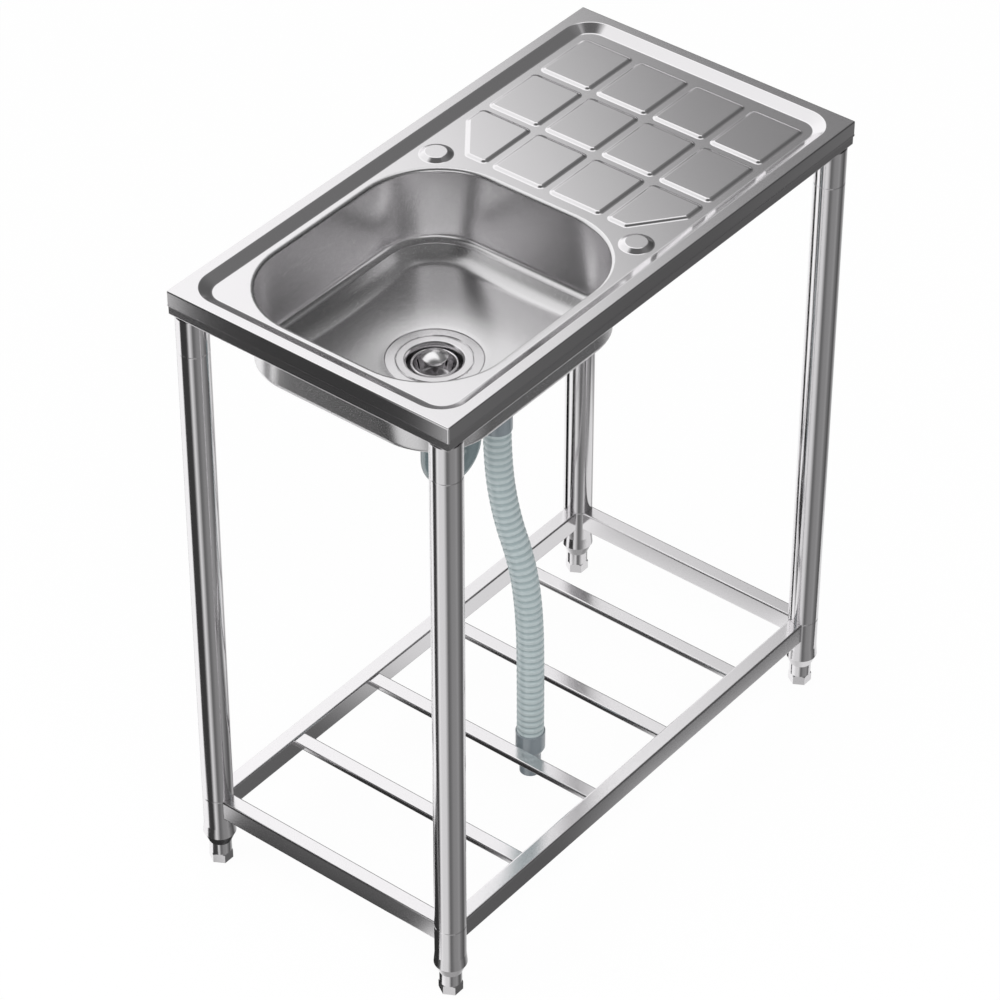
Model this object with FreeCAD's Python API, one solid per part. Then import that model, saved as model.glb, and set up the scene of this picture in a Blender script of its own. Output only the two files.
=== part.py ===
"""Free-standing kitchen sink unit: pressed deck with drainboard, welded bowl, basket strainer,
trap with a ribbed drain hose, and a tubular leg stand with a slatted shelf frame.

Millimetres. X runs along the unit with the drainboard at +X, the front is at -Y, Z is up and the
origin is on the floor under the middle of the deck.
"""
import FreeCAD, Part
import math
import os

V = FreeCAD.Vector

# ---------------------------------------------------------------- overall
unit_length = 750.0
unit_depth = 400.0
unit_height = 855.0
weld_gap = 0.05            # between flat pieces that are welded edge to edge
cope_gap = 0.15            # between a round tube and a tube end cut to its shape
past = 5.0                 # how far a cutter runs past the face it cuts

# ---------------------------------------------------------------- deck
deck_sheet = 1.0
deck_corner_radius = 1.8
skirt_drop = 20.0          # turned-down edge of the deck
rim_width = 14.5           # flat border round the recess
recess_depth = 7.5
recess_run = 14.0          # plan width of the slope from rim to recess
recess_corner_radius = 37.0

pad_columns = 3
pad_rows = 4
pad_gap = 9.6              # between neighbouring pads
pad_bowl_gap = 13.6        # from the bowl's mouth to the first column
pad_end_gap = 18.5         # from the foot of the recess slope to the last column
pad_side_gap = 11.0        # from the foot of the recess slope to the outer rows
pad_height = 2.2
pad_slope = 5.0            # plan width of a pad's sloped edge
pad_corner_radius = 7.0
pad_kept_x = 30.0          # edges left by the cut corner of the two pads beside the bosses
pad_kept_y = 28.0

boss_bowl_overlap = 4.4    # boss centre inside the line of the bowl's mouth
boss_side_gap = 27.0       # from the foot of the recess slope to the boss centre
boss_base_radius = 20.0
boss_top_radius = 13.5
boss_height = 4.0

# ---------------------------------------------------------------- bowl
bowl_sheet = 1.0
bowl_end_gap = 34.0        # from the unit's left end to the bowl's mouth
bowl_side_gap = 35.0       # from the unit's front and back to the bowl's mouth
mouth_length = 372.0
mouth_radius = 105.0
lip_radius = 5.0
lip_steps = 5
wall_taper_x = 10.0        # how far the walls draw in from the mouth to the crease
wall_taper_y = 9.0
crease_radius = 78.0
crease_depth = 105.5       # below the top of the unit
ledge_width = 7.0
ledge_fall = 0.5
floor_depth = 128.0        # below the top of the unit, at the drain
floor_angle = 4.0          # degrees, fall of the floor to the drain
drain_recess_radius = 57.0
drain_recess_depth = 2.0
drain_hole_radius = 46.0

# ---------------------------------------------------------------- stand
rail_width = 30.0
rail_height = 25.0
rail_corner_radius = 4.0
rail_clearance = 0.2       # between the rail and the deck's turned-down edge
tube_wall = 1.2
leg_radius = 19.0
leg_chamfer = 0.6          # at the joints in the legs
leg_socket_length = 48.0
spigot_length = 25.0
spigot_clearance = 0.2
swage_length = 4.0         # where a leg tube draws in to its spigot
shelf_top = 105.0
shelf_rail_width = 20.0
shelf_rail_height = 28.0
shelf_rail_radius = 2.0
shelf_corner_length = 45.0
slat_count = 4
slat_width = 20.0
slat_height = 8.4
slat_radius = 2.0
slat_pitch = 143.7
slat_drop = 2.4            # slat tops below the frame's top

# ---------------------------------------------------------------- feet
collar_rim_radius = 20.2
collar_rim_bevel = 0.5
collar_flare_height = 15.0 # from the rim up to the shelf corner
collar_cone_height = 14.0
collar_lip = 0.6           # wall at the collar's lower edge
collar_plug_length = 18.0
foot_radius = 13.6
foot_clearance = 0.06
foot_exposed = 17.5        # round part showing below the collar
foot_engaged = 29.0        # round part inside the collar
foot_hex_radius = 14.8
foot_hex_height = 13.5
foot_hex_chamfer = 1.6

# ---------------------------------------------------------------- strainer
flange_sheet = 1.2
flange_clearance = 1.2
flange_crease_radius = 44.5
flange_dip = 0.8           # flange surface at the well below its edge
well_mouth_radius = 34.5
well_mouth_round = 2.0
well_radius = 29.0
well_shoulder_depth = 14.0
well_depth = 34.0
well_hole_radius = 3.5
well_hole_count = 8
well_hole_circle = 19.0

gasket_height = 3.0
gasket_overlap = 4.0       # how far the gasket reaches in past the bowl's hole
body_flange_radius = 55.0
body_flange_height = 4.0
body_radius = 40.0
body_wall = 2.5
body_length = 49.0
neck_radius = 20.0
neck_wall = 3.2
neck_funnel = 17.0
neck_length = 24.0
hub_radius = 7.0
hub_height = 14.0
spoke_count = 3
spoke_width = 4.0
spoke_height = 10.0
screw_radius = 3.0
screw_clearance = 0.2
screw_head_radius = 5.5
screw_head_height = 2.5

basket_lift = 0.3          # basket seal above the bottom of the well
seal_radius = 24.0
seal_height = 4.0
basket_boss_radius = 14.0
basket_boss_bore = 7.5
basket_base_radius = 21.0
basket_rim_radius = 26.5
basket_rim_wire = 1.6
basket_rim_drop = 6.0      # middle of the rolled rim below the flange
basket_wall = 1.0
slot_count = 12
slot_width = 2.5
slot_margin = 5.0          # solid wall above and below the basket's slots
post_radius = 4.5
knob_rise = 9.0            # top of the knob above the flange
knob_radius = 15.5
knob_dome = 4.5
knob_edge = 1.5
knob_under = 2.0
knob_waist_radius = 9.5
knob_waist_height = 2.5
knob_foot_radius = 11.5
knob_foot_height = 3.0

# ---------------------------------------------------------------- trap and hose
trap_radius = 17.5
trap_wall = 2.2
trap_bend_radius = 28.25
trap_collar_radius = 19.8
trap_collar_height = 3.0
trap_riser = 33.0          # straight stretch between the two bends
trap_inlet_length = 62.5
trap_tail_length = 16.0
washer_height = 2.0
washer_bore = 15.4
nut_wall = 4.5
nut_clearance = 0.15
nut_lip = 3.0
nut_overlap = 20.0
nut_grip_count = 6
nut_grip_width = 9.0
nut_grip_proud = 2.0
nut_grip_margin = 2.0
cuff_radius = 18.6
cuff_bevel = 0.6
cuff_grip = 12.0           # length over the trap's tail
cuff_shoulder = 2.0
cuff_socket = 21.0         # length over the hose
hose_radius = 17.0
hose_root_radius = 15.4
hose_bore_radius = 14.2
hose_rib_pitch = 9.5
rib_foot = 0.10            # where a rib rises, as a share of the pitch
rib_crest = 0.30
hose_clearance = 0.25
adapter_radius = 18.5
adapter_bevel = 1.0
adapter_socket = 22.5
adapter_shoulder = 4.0
adapter_cone = 10.0
adapter_spigot_radius = 13.5
adapter_spigot_length = 30.0
adapter_wall = 2.2

# ---------------------------------------------------------------- worked out from the above
deck_level = unit_height - recess_depth
skirt_bottom = unit_height - skirt_drop
field_half_length = unit_length / 2 - rim_width - recess_run
field_half_width = unit_depth / 2 - rim_width - recess_run

mouth_half_length = mouth_length / 2
mouth_half_width = unit_depth / 2 - bowl_side_gap
bowl_x = -unit_length / 2 + bowl_end_gap + mouth_half_length
crease_level = unit_height - crease_depth
drain_level = unit_height - floor_depth
recess_floor = drain_level - drain_recess_depth

rail_top = deck_level - deck_sheet
rail_bottom = rail_top - rail_height
rail_face = deck_sheet + rail_clearance
leg_x = unit_length / 2 - leg_radius
leg_y = unit_depth / 2 - leg_radius
leg_inner_radius = leg_radius - tube_wall
spigot_radius = leg_inner_radius - spigot_clearance
socket_bottom = rail_bottom - leg_socket_length

collar_top = shelf_top - shelf_corner_length
collar_rim = collar_top - collar_flare_height
collar_bottom = collar_rim - collar_cone_height
foot_bottom = collar_bottom - foot_exposed - foot_hex_height

flange_top = recess_floor + flange_sheet
well_bottom = flange_top - well_depth
body_top = recess_floor - bowl_sheet - gasket_height
body_bottom = body_top - body_length
neck_bottom = body_bottom - neck_funnel - neck_length
basket_seat = well_bottom + flange_sheet + basket_lift
basket_base = basket_seat + seal_height
basket_rim = flange_top - basket_rim_drop

trap_top = neck_bottom - washer_height
bend_level = trap_top - trap_inlet_length
crown_level = bend_level + trap_riser
hose_x = bowl_x + 4 * trap_bend_radius
tail_bottom = crown_level - trap_tail_length
hose_top = tail_bottom - cuff_shoulder
cuff_bottom = hose_top - cuff_socket

# The hose hangs free from the cuff to the adapter. Its points are chosen by hand.
hose_points = [
    V(hose_x, 0.0, hose_top),
    V(hose_x, 0.0, 516.0),
    V(-39.3, -10.7, 436.0),
    V(-33.8, -33.0, 366.0),
    V(-31.4, -42.2, 290.0),
    V(-31.0, -44.2, 187.0),
    V(-31.0, -44.2, 84.0),
]


# ---------------------------------------------------------------- helpers
def rectangle(half_x, half_y, x=0.0, y=0.0):
    """Corner points of a rectangle, anticlockwise."""
    left = x - half_x
    right = x + half_x
    return [(left, y - half_y), (right, y - half_y), (right, y + half_y), (left, y + half_y)]


def corner_turn(points, i):
    """Directions into and out of a corner, and the angle between them."""
    before = V(*points[i - 1], 0)
    corner = V(*points[i], 0)
    after = V(*points[(i + 1) % len(points)], 0)
    into = (corner - before).normalize()
    out = (after - corner).normalize()
    return into, out, math.atan2(into.cross(out).z, into.dot(out))


def inset_points(points, inset):
    """The outline of a convex polygon moved inwards by inset."""
    moved = []
    for i, (x, y) in enumerate(points):
        into, out, turn = corner_turn(points, i)
        reach = inset * math.tan(turn / 2)
        moved.append((x - into.x * reach - into.y * inset, y - into.y * reach + into.x * inset))
    return moved


def inner_radius(radius, wall):
    """Corner radius inside a wall, never quite sharp."""
    return max(radius - wall, 0.1 * radius)


def outline(points, radius, z):
    """Closed wire through the points at height z, each corner rounded to radius."""
    starts = []
    middles = []
    ends = []
    for i, (x, y) in enumerate(points):
        into, out, turn = corner_turn(points, i)
        corner = V(x, y, z)
        reach = radius * math.tan(turn / 2)
        starts.append(corner - into * reach)
        ends.append(corner + out * reach)
        inward = (out - into).normalize()
        middles.append(corner + inward * radius * (1 / math.cos(turn / 2) - 1))
    edges = []
    for i in range(len(points)):
        edges.append(Part.Arc(starts[i], middles[i], ends[i]).toShape())
        edges.append(Part.LineSegment(ends[i], starts[(i + 1) % len(points)]).toShape())
    return Part.Wire(edges)


def prism(points, radius, low, high):
    """Upright solid with a rounded outline."""
    return Part.Face(outline(points, radius, low)).extrude(V(0, 0, high - low))


def ruled(wires):
    """Solid with straight sides through closed wires."""
    return Part.makeLoft(wires, True, True)


def cylinder(radius, low, high, x=0.0, y=0.0):
    return Part.makeCylinder(radius, high - low, V(x, y, low))


def ring(outer, inner, low, high, x=0.0, y=0.0):
    return cylinder(outer, low, high, x, y).cut(cylinder(inner, low - past, high + past, x, y))


def turned(profile, x=0.0, y=0.0):
    """Solid turned about an upright axis from (radius, height) points."""
    points = [V(x + r, y, z) for r, z in profile]
    face = Part.Face(Part.makePolygon(points + [points[0]]))
    return face.revolve(V(x, y, 0), V(0, 0, 1), 360)


def around(shape, count, x=0.0, start=0.0):
    """Copies of a shape, evenly spaced about the upright axis at x."""
    return [shape.rotated(V(x, 0, 0), V(0, 0, 1), start + 360 / count * i) for i in range(count)]


def rectangular_tube(length, width, height, wall, radius):
    """Hollow tube along X, its middle at the origin."""
    outside = outline(rectangle(width / 2, height / 2), radius, -length / 2)
    inside = outline(rectangle(width / 2 - wall, height / 2 - wall), inner_radius(radius, wall), -length / 2)
    tube = Part.Face(outside).extrude(V(0, 0, length)).cut(Part.Face(inside).extrude(V(0, 0, length)))
    tube.rotate(V(0, 0, 0), V(0, 1, 0), 90)
    tube.rotate(V(0, 0, 0), V(1, 0, 0), 90)
    return tube


def export(shape, node):
    """Write one sub-part to its own file."""
    shape = shape.removeSplitter()
    solids = shape.Solids
    shape = solids[0] if len(solids) == 1 else Part.makeCompound(solids)
    shape.exportStep("parts/" + node + ".step")
    print(node, "solids", len(solids), "valid", shape.isValid(), "volume", round(shape.Volume))


# ---------------------------------------------------------------- deck
def pads():
    """Corner points of each raised pad of the drainboard."""
    left_end = bowl_x + mouth_half_length + pad_bowl_gap
    right_end = field_half_length - pad_end_gap
    front = -field_half_width + pad_side_gap
    length = (right_end - left_end - (pad_columns - 1) * pad_gap) / pad_columns
    width = (-2 * front - (pad_rows - 1) * pad_gap) / pad_rows
    outlines = []
    for column in range(pad_columns):
        for row in range(pad_rows):
            left = left_end + column * (length + pad_gap)
            right = left + length
            low = front + row * (width + pad_gap)
            high = low + width
            points = [(left, low), (right, low), (right, high), (left, high)]
            if column == 0 and row == 0:
                points[0:1] = [(left, high - pad_kept_y), (right - pad_kept_x, low)]
            if column == 0 and row == pad_rows - 1:
                points[3:4] = [(right - pad_kept_x, high), (left, low + pad_kept_y)]
            outlines.append(points)
    return outlines


def deck_form(drop, border):
    """Block up to the deck's surface: its recess cut, its pads and bosses raised, all lowered by drop."""
    outside = rectangle(unit_length / 2 - border, unit_depth / 2 - border)
    radius = inner_radius(deck_corner_radius, border)
    form = prism(outside, radius, skirt_bottom - border, unit_height - drop)
    rim = rectangle(unit_length / 2 - rim_width, unit_depth / 2 - rim_width)
    top_wire = outline(rim, recess_corner_radius, unit_height - drop)
    low_wire = outline(inset_points(rim, recess_run), recess_corner_radius - recess_run, deck_level - drop)
    form = form.cut(ruled([low_wire, top_wire]))
    raised = []
    for points in pads():
        low = outline(points, pad_corner_radius, deck_level - drop)
        inner = inset_points(points, pad_slope)
        high = outline(inner, inner_radius(pad_corner_radius, pad_slope), deck_level + pad_height - drop)
        raised.append(ruled([low, high]))
    boss_x = bowl_x + mouth_half_length - boss_bowl_overlap
    boss_y = field_half_width - boss_side_gap
    for side in (-1, 1):
        base = V(boss_x, side * boss_y, deck_level - drop)
        raised.append(Part.makeCone(boss_base_radius, boss_top_radius, boss_height, base))
    return form.fuse(raised)


def sink_deck():
    deck = deck_form(0.0, 0.0).cut(deck_form(deck_sheet, deck_sheet))
    mouth = rectangle(mouth_half_length + weld_gap, mouth_half_width + weld_gap, bowl_x)
    return deck.cut(prism(mouth, mouth_radius + weld_gap, rail_top - past, unit_height + past))


# ---------------------------------------------------------------- bowl
def bowl_section(inset_x, inset_y, radius, z):
    """Wire of the mouth's outline drawn in by the insets."""
    return outline(rectangle(mouth_half_length - inset_x, mouth_half_width - inset_y, bowl_x), radius, z)


def bowl_form(grow):
    """Inside of the bowl, or with grow its outside: lip, walls, ledge, slope and coned floor."""
    wires = []
    for step in range(lip_steps + 1):
        angle = math.pi / 2 * step / lip_steps
        inset = (lip_radius - grow) * math.sin(angle)
        level = deck_level - lip_radius + (lip_radius - grow) * math.cos(angle)
        wires.append(bowl_section(inset, inset, mouth_radius - inset, level))
    level = crease_level - grow
    radius = crease_radius + grow
    wires.append(bowl_section(wall_taper_x - grow, wall_taper_y - grow, radius, level))
    walls = ruled(wires)

    crease_half_length = mouth_half_length - wall_taper_x + grow
    crease_half_width = mouth_half_width - wall_taper_y + grow
    crease = rectangle(crease_half_length, crease_half_width, bowl_x)
    edge = inset_points(crease, ledge_width)
    edge_level = level - ledge_fall
    fall = edge_level - recess_floor + past
    foot = inset_points(edge, fall)
    edge_wire = outline(edge, radius - ledge_width, edge_level)
    ledge = ruled([edge_wire, outline(crease, radius, level)])
    slope = ruled([outline(foot, radius - ledge_width - fall, edge_level - fall), edge_wire])

    reach = mouth_half_length + mouth_half_width
    rise = (reach - drain_recess_radius) * math.tan(math.radians(floor_angle))
    low = drain_level - grow
    below = low - drain_recess_depth - 2 * past
    under_floor = turned([
        (0.0, below),
        (reach, below),
        (reach, low + rise),
        (drain_recess_radius, low),
        (0.0, low),
    ], bowl_x)
    recess = cylinder(drain_recess_radius + grow, recess_floor - grow, low + drain_recess_depth, bowl_x)
    return walls.fuse([ledge, slope.cut(under_floor), recess])


def sink_bowl():
    mouth = rectangle(mouth_half_length, mouth_half_width, bowl_x)
    seam = prism(mouth, mouth_radius, deck_level - bowl_sheet, deck_level)
    bowl = bowl_form(bowl_sheet).fuse(seam).cut(bowl_form(0.0))
    return bowl.cut(cylinder(drain_hole_radius, recess_floor - past, recess_floor + past, bowl_x))


# ---------------------------------------------------------------- stand
def top_rail(length, depth):
    """Rectangular tube along the front of a frame of this length and depth, mitred at both ends."""
    front = -depth / 2
    back = front + rail_width
    outer = length / 2 - weld_gap
    rail = rectangular_tube(length, rail_width, rail_height, tube_wall, rail_corner_radius)
    rail.translate(V(0, front + rail_width / 2, (rail_top + rail_bottom) / 2))
    inner = outer - rail_width
    corners = [V(-outer, front, 0), V(outer, front, 0), V(inner, back, 0), V(-inner, back, 0), V(-outer, front, 0)]
    keep = Part.Face(Part.makePolygon(corners)).extrude(V(0, 0, unit_height))
    return rail.common(keep)


def top_rails():
    length = unit_length - 2 * rail_face
    depth = unit_depth - 2 * rail_face
    centre = V(0, 0, 0)
    up = V(0, 0, 1)
    return {
        "front": top_rail(length, depth),
        "right": top_rail(depth, length).rotated(centre, up, 90),
        "back": top_rail(length, depth).rotated(centre, up, 180),
        "left": top_rail(depth, length).rotated(centre, up, 270),
    }


def leg_socket(x, y):
    return turned([
        (leg_inner_radius, socket_bottom),
        (leg_radius - leg_chamfer, socket_bottom),
        (leg_radius, socket_bottom + leg_chamfer),
        (leg_radius, rail_bottom),
        (leg_inner_radius, rail_bottom),
    ], x, y)


def leg_tube(x, y):
    """Leg tube with both ends swaged down to plug into the socket and the shelf corner."""
    inner = spigot_radius - tube_wall
    return turned([
        (inner, shelf_top - spigot_length),
        (spigot_radius, shelf_top - spigot_length),
        (spigot_radius, shelf_top),
        (leg_radius - leg_chamfer, shelf_top),
        (leg_radius, shelf_top + leg_chamfer),
        (leg_radius, socket_bottom - leg_chamfer),
        (leg_radius - leg_chamfer, socket_bottom),
        (spigot_radius, socket_bottom),
        (spigot_radius, socket_bottom + spigot_length),
        (inner, socket_bottom + spigot_length),
        (inner, socket_bottom - tube_wall),
        (leg_inner_radius, socket_bottom - tube_wall - swage_length),
        (leg_inner_radius, shelf_top + tube_wall + swage_length),
        (inner, shelf_top + tube_wall),
    ], x, y)


def shelf_corner(x, y):
    return turned([
        (leg_inner_radius, collar_top),
        (leg_radius, collar_top),
        (leg_radius, shelf_top - leg_chamfer),
        (leg_radius - leg_chamfer, shelf_top),
        (leg_inner_radius, shelf_top),
    ], x, y)


def coped(tube):
    """A shelf rail with its ends cut to the round of the shelf corners."""
    for x in (-leg_x, leg_x):
        for y in (-leg_y, leg_y):
            tube = tube.cut(cylinder(leg_radius + cope_gap, 0, unit_height, x, y))
    return tube


def shelf_rail(length):
    return rectangular_tube(length, shelf_rail_width, shelf_rail_height, tube_wall, shelf_rail_radius)


def shelf_rails():
    middle = shelf_top - shelf_rail_height / 2
    short_rail = shelf_rail(2 * leg_y).rotated(V(0, 0, 0), V(0, 0, 1), 90)
    return {
        "front": coped(shelf_rail(2 * leg_x).translated(V(0, -leg_y, middle))),
        "back": coped(shelf_rail(2 * leg_x).translated(V(0, leg_y, middle))),
        "left": coped(short_rail.translated(V(-leg_x, 0, middle))),
        "right": coped(short_rail.translated(V(leg_x, 0, middle))),
    }


def shelf_slat(index):
    length = 2 * leg_y - shelf_rail_width - 2 * weld_gap
    slat = rectangular_tube(length, slat_width, slat_height, tube_wall, slat_radius)
    slat.rotate(V(0, 0, 0), V(0, 0, 1), 90)
    x = (index - (slat_count - 1) / 2) * slat_pitch
    return slat.translated(V(x, 0, shelf_top - slat_drop - slat_height / 2))


# ---------------------------------------------------------------- feet
def foot_collar(x, y):
    """Fixed collar, plugged into the shelf corner, that the foot screws up into."""
    bore = foot_radius + foot_clearance
    return turned([
        (bore, collar_bottom),
        (bore + collar_lip, collar_bottom),
        (collar_rim_radius - collar_rim_bevel, collar_rim - collar_rim_bevel),
        (collar_rim_radius, collar_rim),
        (leg_radius, collar_top),
        (spigot_radius, collar_top),
        (spigot_radius, collar_top + collar_plug_length),
        (bore, collar_top + collar_plug_length),
    ], x, y)


def foot(x, y):
    """Adjustable foot: hexagon for a spanner and a round shank that screws into the collar."""
    corners = []
    for i in range(7):
        angle = math.radians(60 * i)
        side = V(foot_hex_radius * math.cos(angle), foot_hex_radius * math.sin(angle), 0)
        corners.append(V(x, y, foot_bottom) + side)
    hexagon = Part.Face(Part.makePolygon(corners)).extrude(V(0, 0, foot_hex_height))
    hex_top = foot_bottom + foot_hex_height
    chamfered = turned([
        (0.0, foot_bottom),
        (foot_hex_radius, foot_bottom),
        (foot_hex_radius, hex_top - foot_hex_chamfer),
        (foot_hex_radius - foot_hex_chamfer, hex_top),
        (0.0, hex_top),
    ], x, y)
    return hexagon.common(chamfered).fuse(cylinder(foot_radius, hex_top, collar_bottom + foot_engaged, x, y))


# ---------------------------------------------------------------- strainer
def strainer_flange():
    """Flanged steel cup that clamps the bowl's drain edge and holds the basket."""
    sheet = flange_sheet
    edge = drain_recess_radius - flange_clearance
    shoulder = flange_top - well_shoulder_depth
    lip = flange_top - flange_dip
    throat = well_mouth_radius - well_mouth_round
    screw_hole = screw_radius + screw_clearance
    well = turned([
        (edge, recess_floor),
        (edge, flange_top),
        (flange_crease_radius, flange_top),
        (well_mouth_radius, lip),
        (throat, lip - well_mouth_round),
        (well_radius, shoulder),
        (well_radius, well_bottom + sheet),
        (screw_hole, well_bottom + sheet),
        (screw_hole, well_bottom),
        (well_radius + sheet, well_bottom),
        (well_radius + sheet, shoulder - sheet / 2),
        (throat + sheet, lip - well_mouth_round - sheet / 2),
        (well_mouth_radius + sheet, lip - sheet),
        (flange_crease_radius, recess_floor),
    ], bowl_x)
    hole = cylinder(well_hole_radius, well_bottom - past, well_bottom + past, bowl_x + well_hole_circle)
    return well.cut(around(hole, well_hole_count, bowl_x))


def strainer_gasket():
    bore = drain_hole_radius - gasket_overlap
    return ring(body_flange_radius, bore, body_top, body_top + gasket_height, bowl_x)


def strainer_body():
    """Moulded body under the bowl with a threaded neck and a spoked hub for the centre screw."""
    inner = body_radius - body_wall
    shell = turned([
        (inner, body_bottom),
        (inner, body_top),
        (body_flange_radius, body_top),
        (body_flange_radius, body_top - body_flange_height),
        (body_radius, body_top - body_flange_height),
        (body_radius, body_bottom),
        (neck_radius, body_bottom - neck_funnel),
        (neck_radius, neck_bottom),
        (neck_radius - neck_wall, neck_bottom),
        (neck_radius - neck_wall, body_bottom - neck_funnel),
    ], bowl_x)
    hub_bottom = well_bottom - hub_height
    hub = cylinder(hub_radius, hub_bottom, well_bottom, bowl_x)
    corner = V(bowl_x, -spoke_width / 2, hub_bottom)
    spoke = Part.makeBox(inner + body_wall / 2, spoke_width, spoke_height, corner)
    body = shell.fuse([hub] + around(spoke, spoke_count, bowl_x, 30))
    return body.cut(cylinder(screw_radius + screw_clearance, hub_bottom - past, well_bottom + past, bowl_x))


def strainer_screw():
    seat = well_bottom + flange_sheet
    head = cylinder(screw_head_radius, seat, seat + screw_head_height, bowl_x)
    shank = cylinder(screw_radius, well_bottom - hub_height, seat, bowl_x)
    return head.fuse(shank)


def basket_seal():
    return ring(seal_radius, basket_boss_radius, basket_seat, basket_base, bowl_x)


def strainer_basket():
    """Slotted cup with a rolled rim, riveted to its post."""
    inner = basket_rim_radius - basket_wall
    cup = turned([
        (post_radius, basket_base),
        (basket_base_radius, basket_base),
        (basket_rim_radius, basket_rim),
        (inner, basket_rim),
        (basket_base_radius - basket_wall, basket_base + basket_wall),
        (post_radius, basket_base + basket_wall),
    ], bowl_x)
    slot_bottom = basket_base + slot_margin
    slot_height = basket_rim - slot_margin - slot_bottom
    corner = V(bowl_x + basket_boss_radius, -slot_width / 2, slot_bottom)
    slot = Part.makeBox(basket_rim_radius, slot_width, slot_height, corner)
    cup = cup.cut(around(slot, slot_count, bowl_x))
    middle = V(bowl_x, 0, basket_rim)
    return cup.fuse(Part.makeTorus(basket_rim_radius - basket_wall / 2, basket_rim_wire, middle))


def basket_post():
    """Post from the knob down through the basket, with a hollow boss below that carries the seal."""
    knob_bottom = flange_top + knob_rise - knob_height()
    web_bottom = basket_base - basket_wall
    return turned([
        (0.0, web_bottom),
        (basket_boss_bore, web_bottom),
        (basket_boss_bore, basket_seat),
        (basket_boss_radius, basket_seat),
        (basket_boss_radius, basket_base),
        (post_radius, basket_base),
        (post_radius, knob_bottom),
        (0.0, knob_bottom),
    ], bowl_x)


def knob_height():
    return knob_dome + knob_edge + knob_under + knob_waist_height + knob_foot_height


def basket_knob():
    """Domed lift knob on a waisted stem."""
    top = flange_top + knob_rise
    low = top - knob_height()
    edge = top - knob_dome
    dome_radius = (knob_radius ** 2 + knob_dome ** 2) / (2 * knob_dome)
    half = math.asin(knob_radius / dome_radius) / 2
    crown = V(bowl_x + dome_radius * math.sin(half), 0, top - dome_radius * (1 - math.cos(half)))
    dome = Part.Arc(V(bowl_x + knob_radius, 0, edge), crown, V(bowl_x, 0, top)).toShape()
    waist = low + knob_foot_height + knob_waist_height
    line = Part.makePolygon([
        V(bowl_x, 0, top),
        V(bowl_x, 0, low),
        V(bowl_x + knob_foot_radius, 0, low),
        V(bowl_x + knob_foot_radius, 0, low + knob_foot_height),
        V(bowl_x + knob_waist_radius, 0, waist),
        V(bowl_x + knob_radius, 0, waist + knob_under),
        V(bowl_x + knob_radius, 0, edge),
    ])
    face = Part.Face(Part.Wire([dome] + line.Edges))
    return face.revolve(V(bowl_x, 0, 0), V(0, 0, 1), 360)


# ---------------------------------------------------------------- trap
def trap():
    """Moulded double bend: down from the strainer, up, over and down to the hose."""
    inlet_x = bowl_x
    riser_x = inlet_x + 2 * trap_bend_radius
    bend = V(inlet_x + trap_bend_radius, 0, bend_level - trap_bend_radius)
    crown = V(riser_x + trap_bend_radius, 0, crown_level + trap_bend_radius)
    path = Part.Wire([
        Part.LineSegment(V(inlet_x, 0, trap_top), V(inlet_x, 0, bend_level)).toShape(),
        Part.Arc(V(inlet_x, 0, bend_level), bend, V(riser_x, 0, bend_level)).toShape(),
        Part.LineSegment(V(riser_x, 0, bend_level), V(riser_x, 0, crown_level)).toShape(),
        Part.Arc(V(riser_x, 0, crown_level), crown, V(hose_x, 0, crown_level)).toShape(),
        Part.LineSegment(V(hose_x, 0, crown_level), V(hose_x, 0, tail_bottom)).toShape(),
    ])
    start = V(inlet_x, 0, trap_top)
    outer = path.makePipe(Part.Face(Part.Wire(Part.makeCircle(trap_radius, start, V(0, 0, -1)))))
    bore = path.makePipe(Part.Face(Part.Wire(Part.makeCircle(trap_radius - trap_wall, start, V(0, 0, -1)))))
    collar = cylinder(trap_collar_radius, trap_top - trap_collar_height, trap_top, bowl_x)
    return outer.fuse(collar).cut(bore)


def trap_washer():
    return ring(trap_collar_radius, washer_bore, trap_top, trap_top + washer_height, bowl_x)


def trap_nut():
    """Union nut that pulls the trap's collar up against the strainer body's neck."""
    bore = neck_radius + nut_clearance
    outer = bore + nut_wall
    shoulder = trap_top - trap_collar_height - nut_clearance
    low = shoulder - nut_lip
    high = neck_bottom + nut_overlap
    nut = ring(outer, bore, shoulder, high, bowl_x)
    lip = ring(outer, trap_radius + nut_clearance, low, shoulder, bowl_x)
    corner = V(bowl_x + bore + nut_wall / 2, -nut_grip_width / 2, low + nut_grip_margin)
    height = high - low - 2 * nut_grip_margin
    grip = Part.makeBox(nut_wall / 2 + nut_grip_proud, nut_grip_width, height, corner)
    return nut.fuse([lip] + around(grip, nut_grip_count, bowl_x))


def hose_cuff():
    """Cuff pushed over the trap's tail and the top of the hose, with a shoulder between them."""
    grip = trap_radius + nut_clearance
    socket = hose_radius + hose_clearance
    top = tail_bottom + cuff_grip
    return turned([
        (cuff_radius - cuff_bevel, cuff_bottom),
        (cuff_radius, cuff_bottom + cuff_bevel),
        (cuff_radius, top - cuff_bevel),
        (cuff_radius - cuff_bevel, top),
        (grip, top),
        (grip, tail_bottom),
        (hose_bore_radius, tail_bottom),
        (hose_bore_radius, hose_top),
        (socket, hose_top),
        (socket, cuff_bottom),
    ], hose_x)


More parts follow.
